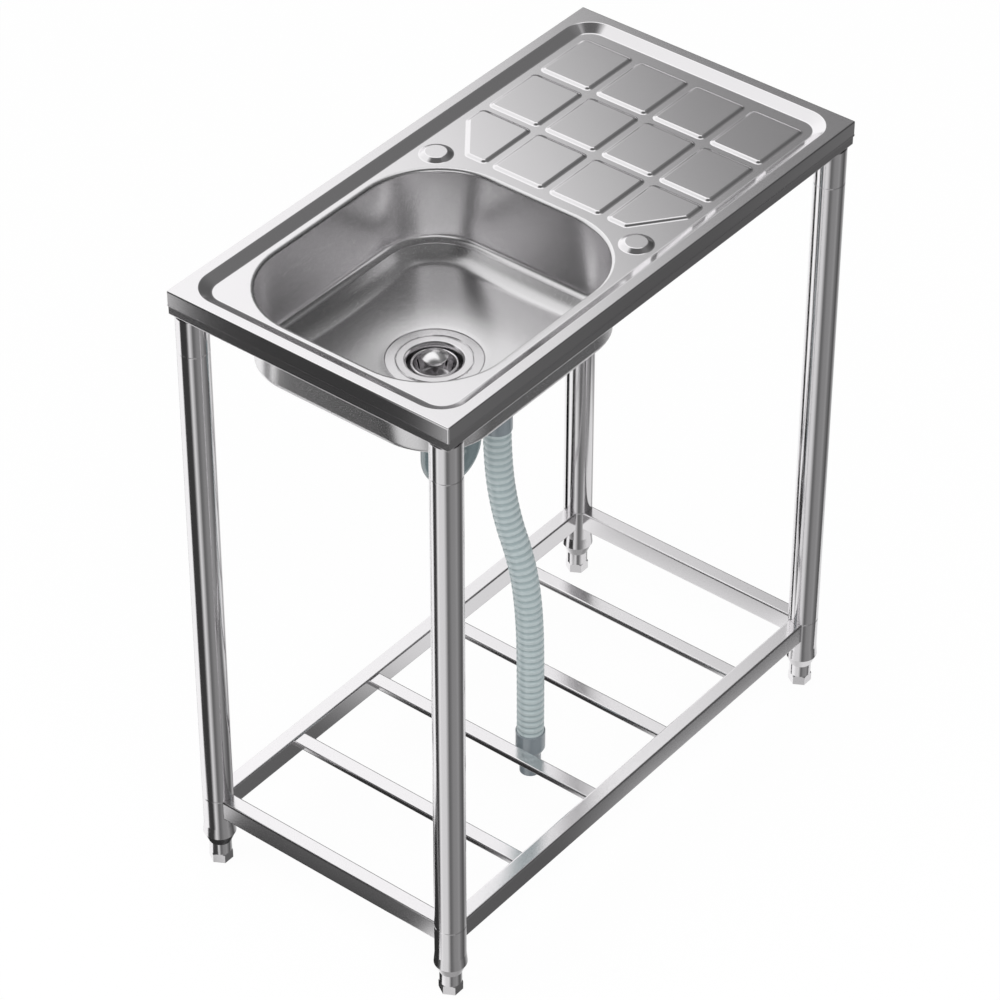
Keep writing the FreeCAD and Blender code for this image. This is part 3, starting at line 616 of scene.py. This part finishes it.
bowl_steel = grained("bowl_steel", (0.87, 0.86, 0.87, 1.0), 0.25, spread=0.03, grain=1100.0, depth=0.000002)
line = rounded_line([
    (0, deck_level, 0),
    (lip, deck_level, lip_radius),
    (wall_taper_x, crease_level, crease_bend_radius),
    (wall_taper_x + ledge_width, crease_level - ledge_fall, ledge_edge_radius),
    (wall_end, crease_level - ledge_fall - slope_shown, 0),
])
loops = [bowl_loop(inset, level) for inset, level in line[:-1]]
inset = wall_taper_x + ledge_width + ledge_edge_radius
while inset < wall_end + slope_reach:
    inset += slope_step
    loops.append([(x, y, floor_at(x, y, inset)) for x, y, _ in bowl_loop(inset, 0.0)])
outermost = loops[-1]
circle = []
for x, y, _ in outermost:
    away = Vector((x - bowl_x, y)).normalized()
    circle.append((bowl_x + away.x * (drain_radius + flat_margin), away.y * (drain_radius + flat_margin)))
for step in range(1, floor_steps + 1):
    share = step / floor_steps
    loop = []
    for (x, y, _), (to_x, to_y) in zip(outermost, circle):
        x += (to_x - x) * share
        y += (to_y - y) * share
        loop.append((x, y, floor_at(x, y, inset + slope_reach)))
    loops.append(loop)
for radius, level in rounded_line([
    (drain_radius + flat_margin, drain_level, 0),
    (drain_radius, drain_level, drain_edge_radius),
    (drain_radius - drain_recess_run, drain_level - drain_recess_depth, drain_recess_run),
    (drain_hole_radius, drain_level - drain_recess_depth, 0),
])[1:]:
    loops.append([(bowl_x + (x - bowl_x) * radius / (drain_radius + flat_margin),
                   y * radius / (drain_radius + flat_margin), level) for x, y in circle])
bm = bmesh.new()
skin(bm, loops)
piece("drawn_bowl", bm, bowl_steel, "bowl_steel", "stand", "sink_bowl", sheet=bowl_sheet)

# ---- Waste ----------------------------------------------------------------
# Steel flange and well that clamp the bowl's drain edge from above, pulled down by a centre screw onto
# a rubber gasket and a moulded body below the bowl.
flange_sheet = 0.0012
flange_radius = 0.0558
flange_crease_radius = 0.0445
flange_dip = 0.0002
flange_groove = 0.0004
flange_groove_round = 0.0004
well_mouth_radius = 0.0345
well_mouth_round = 0.0020
well_neck = 0.0020
well_neck_round = 0.0008
well_radius = 0.0290
well_shoulder_depth = 0.0140
well_shoulder_round = 0.0040
well_floor_round = 0.0015
well_floor_margin = 0.0030
well_hole_radius = 0.0035
well_hole_count = 8
well_hole_circle = 0.0190
well_hole_turns = 24
screw_hole_radius = 0.0032


def keep_solid(node, material):
    """A solid whose shape is right as it is gets its finish."""
    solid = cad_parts[node]
    solid.data.materials.clear()
    solid.data.materials.append(material)


waste_chrome = grained("waste_chrome", steel_tint, 0.22, spread=0.02, grain=1500.0, depth=0.000001)
# Painted highlight: the knob takes a lighter copy of the waste chrome, so that its dome looks brighter.
knob_chrome_painted_lighter = grained("knob_chrome_painted_lighter", (0.94, 0.93, 0.94, 1.0), 0.22, spread=0.02, grain=1500.0, depth=0.000001)
seal_rubber = grained("seal_rubber", (0.035, 0.035, 0.036, 1.0), 0.62, spread=0.08, grain=1200.0, metal=0.0)
waste_plastic = grained("waste_plastic", (0.60, 0.62, 0.62, 1.0), 0.38, spread=0.06, grain=900.0, metal=0.0)
flange_low, flange_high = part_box("strainer_flange")
flange_top = flange_high[2]
well_floor = flange_low[2] + flange_sheet
flange_line = rounded_line([
    (flange_radius, flange_top, 0),
    (flange_crease_radius + flange_groove, flange_top, flange_groove_round),
    (flange_crease_radius, flange_top - flange_groove, flange_groove_round),
    (flange_crease_radius - flange_groove, flange_top - flange_dip / 2, flange_groove_round),
    (well_mouth_radius, flange_top - flange_dip, well_mouth_round),
    (well_mouth_radius - well_neck, flange_top - flange_dip - well_neck, well_neck_round),
    (well_radius, flange_top - well_shoulder_depth, well_shoulder_round),
    (well_radius, well_floor, well_floor_round),
    (well_radius - well_floor_margin, well_floor, 0),
])
bm = bmesh.new()
rings = turned(bm, flange_line, bowl_x)
holes = [turned(bm, [(screw_hole_radius, well_floor)], bowl_x, 0.0, well_hole_turns)[0]]
for across, up in circle_of(well_hole_count):
    x, y = bowl_x + well_hole_circle * across, well_hole_circle * up
    holes.append(turned(bm, [(well_hole_radius, well_floor)], x, y, well_hole_turns)[0])
fill_flat(bm, rings[-1], holes)
piece("waste_flange", bm, waste_chrome, "waste_chrome", "stand", "strainer_flange", sheet=flange_sheet)
keep_solid("strainer_screw", waste_chrome)
keep_solid("strainer_gasket", seal_rubber)
keep_solid("strainer_body", waste_plastic)

# ---- Basket ---------------------------------------------------------------
# Lift-out strainer: a slotted steel cup with a rolled rim, a post with a rubber seal below it and a
# domed knob on top. It sits loose in the well.
basket_wall = 0.0010
basket_base_radius = 0.0210
basket_rim_radius = 0.0265
basket_base_round = 0.0020
basket_base_rise = 0.003
rim_wire = 0.0016
rim_wire_turns = 16
basket_turns = 120
slot_count = 12
slot_share = 0.2
slot_margin = 0.0050
post_radius = 0.0045
knob_radius = 0.0155
knob_dome = 0.0045
knob_edge = 0.0015
knob_waist_radius = 0.0095
knob_waist_height = 0.0025
knob_foot_radius = 0.0115
knob_foot_height = 0.0030
knob_rows = 10
knob_dome_share = 0.8    # share of the dome that is left above the rounded edge
knob_round = 0.0008
knob_waist_round = 0.0015
knob_foot_round = 0.0005

tree, given = node_group("slotted_wall", {
    "Count": "Int", "Share": "Float", "Bottom": "Float", "Top": "Float", "Centre": "Float", "Material": "Material",
})
place = add(tree, "ShaderNodeSeparateXYZ", {"Vector": add(tree, "GeometryNodeInputPosition").outputs[0]}).outputs
from_centre = calc(tree, "SUBTRACT", place["X"], given["Centre"])
angle = calc(tree, "ARCTAN2", place["Y"], from_centre)
turns = calc(tree, "MULTIPLY", angle, 1 / (2 * math.pi))
counted = calc(tree, "MULTIPLY", turns, given["Count"])
along = calc(tree, "FLOORED_MODULO", counted, 1.0)
open_way = calc(tree, "LESS_THAN", along, given["Share"])
above = calc(tree, "GREATER_THAN", place["Z"], given["Bottom"])
below = calc(tree, "LESS_THAN", place["Z"], given["Top"])
within = calc(tree, "MULTIPLY", above, below)
slot = calc(tree, "MULTIPLY", within, open_way)
pierced = add(tree, "GeometryNodeDeleteGeometry", {"Geometry": given["Geometry"], "Selection": slot}, domain="FACE")
finish_group(tree, pierced.outputs[0], given["Material"])

basket_low, basket_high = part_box("strainer_basket")
rim_level = basket_high[2] - rim_wire
base_level = basket_low[2] + basket_wall / 2
rim_inner = basket_rim_radius - basket_wall / 2
base_inner = basket_base_radius - basket_wall / 2
slope = (rim_inner - base_inner) / (rim_level - base_level)
slot_rows = (basket_low[2] + slot_margin, rim_level - slot_margin)
cup_line = [(rim_inner, rim_level)]
cup_line += [(base_inner + slope * (level - base_level), level) for level in reversed(slot_rows)]
cup_line += rounded_line([
    (base_inner + slope * basket_base_rise, base_level + basket_base_rise, 0),
    (base_inner, base_level, basket_base_round),
    (post_radius, base_level, 0),
])
bm = bmesh.new()
turned(bm, cup_line, bowl_x, 0.0, basket_turns)
bm = grown(bm, tree, {
    "Count": slot_count, "Share": slot_share, "Bottom": slot_rows[0], "Top": slot_rows[1],
    "Centre": bowl_x, "Material": waste_chrome,
})
piece("slotted_cup", bm, waste_chrome, "waste_chrome", "basket", "strainer_basket", sheet=basket_wall, offset=0.0)

bm = bmesh.new()
wire = [(rim_inner + rim_wire * across, rim_level + rim_wire * up) for across, up in circle_of(rim_wire_turns)]
turned(bm, wire, bowl_x, closed=True)
piece("rolled_rim", bm, waste_chrome, "waste_chrome", "basket")

knob_low, knob_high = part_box("basket_knob")
knob_top = knob_high[2]
knob_bottom = knob_low[2]
dome_radius = (knob_radius ** 2 + knob_dome ** 2) / (2 * knob_dome)
dome_turn = math.asin(knob_radius / dome_radius)



def dome_at(turn):
    """Point of the knob's dome at this angle from its top, as (radius, height)."""
    return dome_radius * math.sin(turn), knob_top - dome_radius * (1 - math.cos(turn))


knob_line = [(0, knob_bottom)] + rounded_line([
    (knob_waist_radius, knob_bottom, 0),
    (knob_foot_radius, knob_bottom, knob_foot_round),
    (knob_foot_radius, knob_bottom + knob_foot_height, knob_round),
    (knob_waist_radius, knob_bottom + knob_foot_height + knob_waist_height, knob_waist_round),
    (knob_radius, knob_top - knob_dome - knob_edge, knob_round),
    (knob_radius, knob_top - knob_dome, knob_round),
    (*dome_at(knob_dome_share * dome_turn), 0),
])
knob_line += [dome_at(knob_dome_share * dome_turn * (1 - i / knob_rows)) for i in range(1, knob_rows + 1)]
bm = bmesh.new()
turned(bm, knob_line, bowl_x)
# The knob's finish is the waste chrome's lighter copy, a painted highlight.
piece("domed_knob", bm, knob_chrome_painted_lighter, "waste_chrome", "basket", "basket_knob")
keep_solid("basket_post", waste_chrome)
keep_solid("basket_seal", seal_rubber)

# ---- Trap -----------------------------------------------------------------
# Moulded plastic double bend hung from the waste body by a union nut on a rubber washer: down, round
# the water seal, up and over to the hose.
trap_radius = 0.0175
trap_collar_radius = 0.0198
trap_collar_height = 0.0030
trap_collar_round = 0.0004
trap_bend_radius = 0.02825
trap_riser = 0.0330
trap_inlet_length = 0.0625
trap_tail_length = 0.0160
trap_turns = 48
bend_steps = 24

trap_plastic = grained(
    "trap_plastic", (0.14, 0.18, 0.19, 1.0), 0.10, spread=0.02, grain=600.0, depth=0.000003, metal=0.0, ior=1.9)
fitting_plastic = grained(
    "fitting_plastic", (0.19, 0.22, 0.24, 1.0), 0.13, spread=0.03, grain=700.0, depth=0.000003, metal=0.0, ior=1.9)
trap_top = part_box("trap")[1][2]
bend_level = trap_top - trap_inlet_length
crown_level = bend_level + trap_riser
riser_x = bowl_x + 2 * trap_bend_radius
hose_x = riser_x + 2 * trap_bend_radius
stations = [(bowl_x, trap_top, 0.0), (bowl_x, bend_level + guard, 0.0)]
for start_x, level, way in ((bowl_x, bend_level, 1), (riser_x, crown_level, -1)):
    for step in range(bend_steps + 1):
        turn = math.pi * (step if way > 0 else bend_steps - step) / bend_steps
        x = start_x + trap_bend_radius * (1 - way * math.cos(turn))
        stations.append((x, level - way * trap_bend_radius * math.sin(turn), turn))
stations.append((hose_x, crown_level - trap_tail_length, 0.0))
bm = bmesh.new()
capped(bm, skin(bm, [
    [(x + trap_radius * across * math.cos(turn), trap_radius * up, z + trap_radius * across * math.sin(turn))
     for across, up in circle_of(trap_turns)]
    for x, z, turn in stations
]))
turned(bm, rounded_line([
    (trap_radius - guard, trap_top - trap_collar_height, 0),
    (trap_collar_radius, trap_top - trap_collar_height, trap_collar_round),
    (trap_collar_radius, trap_top, trap_collar_round),
    (trap_radius - guard, trap_top, 0),
]), bowl_x, 0.0, closed=True)
piece("moulded_trap", bm, trap_plastic, "trap_plastic", "stand", "trap")
keep_solid("trap_washer", seal_rubber)
keep_solid("trap_nut", fitting_plastic)

# ---- Hose -----------------------------------------------------------------
# Ribbed plastic drain hose, pushed into a cuff on the trap's tail and hanging free to a reducing
# fitting whose plain spigot goes into a waste pipe.
hose_radius = 0.0170
hose_root_radius = 0.0153
hose_rib_pitch = 0.0095
# Painted shade: the grooves between the ribs are coloured darker than the crests, as if they lay in shade.
hose_groove_painted_shade = (0.30, 0.36, 0.37, 1.0)
hose_order = 3
hose_resolution = 24
hose_rows = 12           # rings of points in each rib
hose_turns = 64
hose_foot_share = 0.40   # half the rib's foot and half its crest, as shares of the pitch
hose_crest_share = 0.20
hose_points = [
    (-0.0420, 0.0000, 0.5815),
    (-0.0420, 0.0000, 0.5160),
    (-0.0393, -0.0107, 0.4360),
    (-0.0338, -0.0330, 0.3660),
    (-0.0314, -0.0422, 0.2900),
    (-0.0310, -0.0442, 0.1870),
    (-0.0310, -0.0442, 0.0840),
]
cuff_radius = 0.0186
cuff_bevel = 0.0006
cuff_mouth_round = 0.0004
adapter_radius = 0.0185
adapter_bevel = 0.0010
adapter_bevel_round = 0.0003
adapter_mouth_round = 0.0002
adapter_cone_round = 0.0010
adapter_spigot_round = 0.0005
adapter_spigot_radius = 0.0135
adapter_spigot_length = 0.0300
adapter_cone = 0.0100
adapter_wall = 0.0022
hose_clearance = 0.00025

hose_plastic = grained(
    "hose_plastic", (0.41, 0.47, 0.48, 1.0), 0.14, spread=0.03, grain=500.0, depth=0.000005, metal=0.0, ior=1.75)
# The hose's colour runs from the painted shade of the grooves at the foot of each rib to its plain colour on the
# crest.
tree = hose_plastic.node_tree
base_colour = tree.nodes["Principled BSDF"].inputs["Base Color"]
across = add(tree, "ShaderNodeSeparateXYZ", {"Vector": add(tree, "ShaderNodeTexCoord").outputs["UV"]}).outputs["X"]
shade = mixed(tree, across, hose_groove_painted_shade, base_colour.links[0].from_socket)
tree.links.new(shade, base_colour)
route = bpy.data.curves.new("hose_route", "CURVE")
route.dimensions = "3D"
spline = route.splines.new("NURBS")
spline.points.add(len(hose_points) - 1)
for point, place in zip(spline.points, hose_points):
    point.co = (*place, 1.0)
spline.order_u = hose_order
spline.use_endpoint_u = True
spline.resolution_u = hose_resolution
route_object = bpy.data.objects.new("hose_route", route)
bpy.context.scene.collection.objects.link(route_object)
line_mesh = bpy.data.meshes.new_from_object(route_object.evaluated_get(bpy.context.evaluated_depsgraph_get()))
hose_path = [vert.co.copy() for vert in line_mesh.vertices]
bpy.data.objects.remove(route_object)

tree, given = node_group("ribbed_wall", {
    "Pitch": "Float", "Rows": "Float", "Root Radius": "Float", "Crest Radius": "Float", "Material": "Material",
})
run = add(tree, "GeometryNodeMeshToCurve", {"Mesh": given["Geometry"]}).outputs[0]
row_step = calc(tree, "DIVIDE", given["Pitch"], given["Rows"])
rows = add(tree, "GeometryNodeResampleCurve", {"Curve": run, "Length": row_step}, mode="LENGTH").outputs[0]
reached = add(tree, "GeometryNodeSplineParameter").outputs["Length"]
turns = calc(tree, "DIVIDE", reached, given["Pitch"])
part = calc(tree, "FRACT", turns)
off = calc(tree, "SUBTRACT", part, 0.5)
away = calc(tree, "ABSOLUTE", off)
rise = add(tree, "ShaderNodeMapRange", {
    "Value": away, "From Min": hose_foot_share, "From Max": hose_crest_share,
}, interpolation_type="SMOOTHSTEP").outputs[0]
held = add(tree, "GeometryNodeCaptureAttribute")
held.capture_items.new("FLOAT", "Rise")
tree.links.new(rows, held.inputs["Geometry"])
tree.links.new(rise, held.inputs["Rise"])
wave = add(tree, "ShaderNodeMapRange", {
    "Value": held.outputs["Rise"], "To Min": given["Root Radius"], "To Max": given["Crest Radius"],
}).outputs[0]
circle = add(tree, "GeometryNodeCurvePrimitiveCircle", {"Resolution": hose_turns, "Radius": 1.0}).outputs[0]
wall = add(tree, "GeometryNodeCurveToMesh", {
    "Curve": held.outputs["Geometry"], "Profile Curve": circle, "Scale": wave, "Fill Caps": True,
}).outputs[0]
# The rib's rise goes into the UV map, so that the hose's material can paint its grooves darker as painted shade.
spread = add(tree, "ShaderNodeCombineXYZ", {"X": held.outputs["Rise"]}).outputs[0]
mapped = add(tree, "GeometryNodeStoreNamedAttribute", {
    "Geometry": wall, "Name": "UVMap", "Value": spread,
}, data_type="FLOAT2", domain="CORNER").outputs[0]
finish_group(tree, mapped, given["Material"])

bm = bmesh.new()
verts = [bm.verts.new(place) for place in hose_path]
for one, two in zip(verts, verts[1:]):
    bm.edges.new((one, two))
bm = grown(bm, tree, {
    "Pitch": hose_rib_pitch, "Rows": hose_rows, "Root Radius": hose_root_radius, "Crest Radius": hose_radius,
    "Material": hose_plastic,
})
bmesh.ops.recalc_face_normals(bm, faces=bm.faces[:])
hose = piece("ribbed_hose", bm, hose_plastic, "hose_plastic", "stand", "drain_hose")

low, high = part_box("hose_cuff")
hose_bore = hose_radius + hose_clearance
bm = bmesh.new()
turned(bm, rounded_line([
    (hose_bore, low[2], cuff_mouth_round),
    (cuff_radius, low[2], cuff_bevel),
    (cuff_radius, high[2], cuff_bevel),
    (hose_bore, high[2], cuff_mouth_round),
], closed=True), hose_x, 0.0, closed=True)
piece("hose_cuff_ring", bm, fitting_plastic, "fitting_plastic", "stand", "hose_cuff")

low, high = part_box("hose_adapter")
x, y = middle_of("hose_adapter")
spigot_top = low[2] + adapter_spigot_length
shoulder = spigot_top + adapter_cone
bm = bmesh.new()
turned(bm, rounded_line([
    (hose_bore, high[2], adapter_mouth_round),
    (adapter_radius - adapter_bevel, high[2], adapter_bevel_round),
    (adapter_radius, high[2] - adapter_bevel, adapter_bevel_round),
    (adapter_radius, shoulder, adapter_cone_round),
    (adapter_spigot_radius, spigot_top, adapter_cone_round),
    (adapter_spigot_radius, low[2], adapter_spigot_round),
    (adapter_spigot_radius - adapter_wall, low[2], adapter_spigot_round),
    (adapter_spigot_radius - adapter_wall, spigot_top, adapter_cone_round),
    (hose_bore, shoulder + adapter_wall, adapter_cone_round),
], closed=True), x, y, closed=True)
adapter = piece("reducing_adapter", bm, fitting_plastic, "fitting_plastic", "stand", "hose_adapter")

# ---- Floor, light and camera ----------------------------------------------
# Pale floor and white surround. Metal mirrors a soft studio: pale walls, darker towards the right and
# the back, a dim hood overhead, two dark cards beside the unit and two boards low under it.
floor_half = 14.0
floor_drop = 0.0005
floor_tint = (0.86, 0.86, 0.86, 1.0)
floor_glow = 0.95
fill_light = 0.85
camera_place = (-3.0861, -2.4238, 3.5631)
camera_turns = (-51.526, 38.641, 0.081)
camera_lens = 151.56
camera_sensor = 36.0
camera_reach = 100.0
lamp_aim = (0, 0, 0.4)
lamps = [                # (name, place, power, size)
    ("key_lamp", (-1.6, -2.2, 3.2), 60.0, 2.4),
    ("side_lamp", (-3.0, 1.4, 2.4), 35.0, 2.4),
]
wall_tones = [           # (degrees round from +X, brightness) of what lies low down
    (0, 0.42), (15, 0.56), (38, 0.72), (60, 0.96), (120, 1.0), (150, 0.95), (168, 0.72), (200, 0.70),
    (212, 0.40), (222, 0.13), (233, 0.16), (247, 0.24), (272, 0.26), (286, 0.30), (300, 0.18), (312, 0.14),
    (326, 0.08), (338, 0.20), (350, 0.34), (360, 0.42),
]
sky_way = (-0.742, 0.562, 0.364)
sky_tones = [
    (-0.65, 0.05), (-0.30, 0.16), (-0.035, 0.215), (-0.005, 0.56), (0.030, 0.93), (0.09, 1.06), (0.45, 1.04),
    (0.70, 0.93), (1.0, 0.90),
]
hood_way = (-0.28, -0.23, 0.93)
hood_edge = (0.75, 0.89)
hood_tone = 0.12
horizon_edge = (-0.10, 0.10)
nadir_edge = (-0.80, -0.97)
nadir_tone = 0.35
sheet_solid = {"X": 0.27, "Y": 0.45}     # how far from its middle a reflected sheet stays solid
cards = [                # (x, y, turn in degrees, width, lowest, highest, brightness)
    (-0.86, 0.44, 90, 0.88, -0.58, 2.4, 0.045),
    (0.07, 1.07, 67, 1.00, -1.2, 0.8, 0.0),
]
boards = [               # (x, y, height, length, width, brightness)
    (-0.40, 0.27, -0.3, 0.85, 0.36, 0.03),
    (0.68, -0.19, -0.3, 1.10, 0.50, 0.75),
]

scene = bpy.context.scene
scene.view_settings.view_transform = "Standard"


def ramp(tree, factor, stops):
    """Colour ramp over 0 to 1 with (position, brightness) stops."""
    made = add(tree, "ShaderNodeValToRGB", {"Fac": factor})
    elements = made.color_ramp.elements
    while len(elements) < len(stops):
        elements.new(0.5)
    for element, (place, tone) in zip(elements, stops):
        element.position = place
        element.color = (tone, tone, tone, 1.0)
    return made.outputs[0]


def eased(tree, value, edge):
    """0 to 1 as the value crosses an edge of two numbers."""
    return add(tree, "ShaderNodeMapRange", {"Value": value, "From Min": edge[0], "From Max": edge[1]}).outputs[0]


def facing(tree, way, towards):
    return add(tree, "ShaderNodeVectorMath", {0: way, 1: towards}, operation="DOT_PRODUCT").outputs["Value"]


world = bpy.data.worlds.new("studio")
scene.world = world
world.use_nodes = True
tree = world.node_tree
tree.nodes.clear()
way = add(tree, "ShaderNodeTexCoord").outputs["Generated"]
parts = add(tree, "ShaderNodeSeparateXYZ", {"Vector": way}).outputs
turn = calc(tree, "ARCTAN2", parts["Y"], parts["X"])
turns = calc(tree, "MULTIPLY", turn, 1 / (2 * math.pi))
round_share = calc(tree, "FRACT", turns)
walls = ramp(tree, round_share, [(degrees / 360, tone) for degrees, tone in wall_tones])
sky_share = eased(tree, facing(tree, way, sky_way), (-1.0, 1.0))
sky = ramp(tree, sky_share, [((place + 1) / 2, tone) for place, tone in sky_tones])
sky = mixed(tree, eased(tree, facing(tree, way, hood_way), hood_edge), sky, hood_tone)
mirrored = mixed(tree, eased(tree, parts["Z"], horizon_edge), walls, sky)
mirrored = mixed(tree, eased(tree, parts["Z"], nadir_edge), mirrored, nadir_tone)
rays = add(tree, "ShaderNodeLightPath").outputs
lit = mixed(tree, rays["Is Diffuse Ray"], mirrored, fill_light)
seen = mixed(tree, calc(tree, "MAXIMUM", rays["Is Camera Ray"], rays["Is Transmission Ray"]), lit, 1.0)
surround = add(tree, "ShaderNodeBackground", {"Color": seen}).outputs[0]
add(tree, "ShaderNodeOutputWorld", {"Surface": surround})


def stage_sheet(name, corners, material):
    """Four-cornered sheet of the studio, mapped from 0 to 1 both ways."""
    mesh = bpy.data.meshes.new(name)
    mesh.from_pydata(corners, [], [(0, 1, 2, 3)])
    mesh.uv_layers.new(name="UVMap")
    for corner, place in zip(mesh.uv_layers[0].data, ((0, 0), (1, 0), (1, 1), (0, 1))):
        corner.uv = place
    mesh.materials.append(material)
    made = bpy.data.objects.new(name, mesh)
    scene.collection.objects.link(made)
    return made


pale = bpy.data.materials.new("pale_floor")
pale.use_nodes = True
tree = pale.node_tree
tree.nodes.clear()
matt = add(tree, "ShaderNodeBsdfDiffuse", {"Color": floor_tint}).outputs[0]
glow = add(tree, "ShaderNodeEmission", {"Color": (1, 1, 1, 1)}).outputs[0]
camera_ray = add(tree, "ShaderNodeLightPath").outputs["Is Camera Ray"]
share = calc(tree, "MULTIPLY", camera_ray, floor_glow)
both = add(tree, "ShaderNodeMixShader", {0: share, 1: matt, 2: glow}).outputs[0]
add(tree, "ShaderNodeOutputMaterial", {"Surface": both})
floor = stage_sheet("floor", [(x, y, -floor_drop) for x, y in rectangle(floor_half, floor_half)], pale)
floor.visible_glossy = False


def reflected_sheet(name, corners, tone):
    """Sheet with soft edges that shows only in reflections."""
    card = bpy.data.materials.new(name)
    card.use_nodes = True
    tree = card.node_tree
    tree.nodes.clear()
    place = add(tree, "ShaderNodeSeparateXYZ", {"Vector": add(tree, "ShaderNodeTexCoord").outputs["UV"]}).outputs
    edges = []
    for axis, solid in sheet_solid.items():
        off = calc(tree, "SUBTRACT", place[axis], 0.5)
        away = calc(tree, "ABSOLUTE", off)
        edges.append(add(tree, "ShaderNodeMapRange", {
            "Value": away, "From Min": 0.5, "From Max": solid,
        }, interpolation_type="SMOOTHSTEP").outputs[0])
    cover = calc(tree, "MULTIPLY", edges[0], edges[1])
    clear = add(tree, "ShaderNodeBsdfTransparent").outputs[0]
    lit = add(tree, "ShaderNodeEmission", {"Color": (tone, tone, tone, 1)}).outputs[0]
    both = add(tree, "ShaderNodeMixShader", {0: cover, 1: clear, 2: lit}).outputs[0]
    add(tree, "ShaderNodeOutputMaterial", {"Surface": both})
    made = stage_sheet(name, corners, card)
    made.visible_camera = False
    made.visible_diffuse = False
    made.visible_shadow = False
    made.visible_transmission = False


for i, (x, y, turn, width, lowest, highest, tone) in enumerate(cards):
    side = Vector((math.cos(math.radians(turn)), math.sin(math.radians(turn)))) * width / 2
    reflected_sheet("card_" + str(i + 1), [
        (x - side.x, y - side.y, lowest), (x + side.x, y + side.y, lowest),
        (x + side.x, y + side.y, highest), (x - side.x, y - side.y, highest),
    ], tone)
for i, (x, y, level, length, width, tone) in enumerate(boards):
    reflected_sheet("board_" + str(i + 1), [
        (*corner, level) for corner in rectangle(length / 2, width / 2, x, y)
    ], tone)

for name, place, power, size in lamps:
    lamp = bpy.data.lights.new(name, "AREA")
    lamp.energy = power
    lamp.size = size
    made = bpy.data.objects.new(name, lamp)
    aim = Vector(lamp_aim) - Vector(place)
    made.matrix_world = Matrix.Translation(place) @ aim.to_track_quat("-Z", "Y").to_matrix().to_4x4()
    made.visible_glossy = False
    scene.collection.objects.link(made)

camera = bpy.data.cameras.new("camera")
camera.lens = camera_lens
camera.sensor_width = camera_sensor
camera.sensor_fit = "HORIZONTAL"
camera.clip_end = camera_reach
camera_object = bpy.data.objects.new("camera", camera)
azimuth, drop, roll = [math.radians(turn) for turn in camera_turns]
camera_object.matrix_world = (
    Matrix.Translation(camera_place) @ Matrix.Rotation(azimuth, 4, "Z")
    @ Matrix.Rotation(math.pi / 2 - drop, 4, "X") @ Matrix.Rotation(roll, 4, "Z")
)
scene.collection.objects.link(camera_object)
scene.camera = camera_object
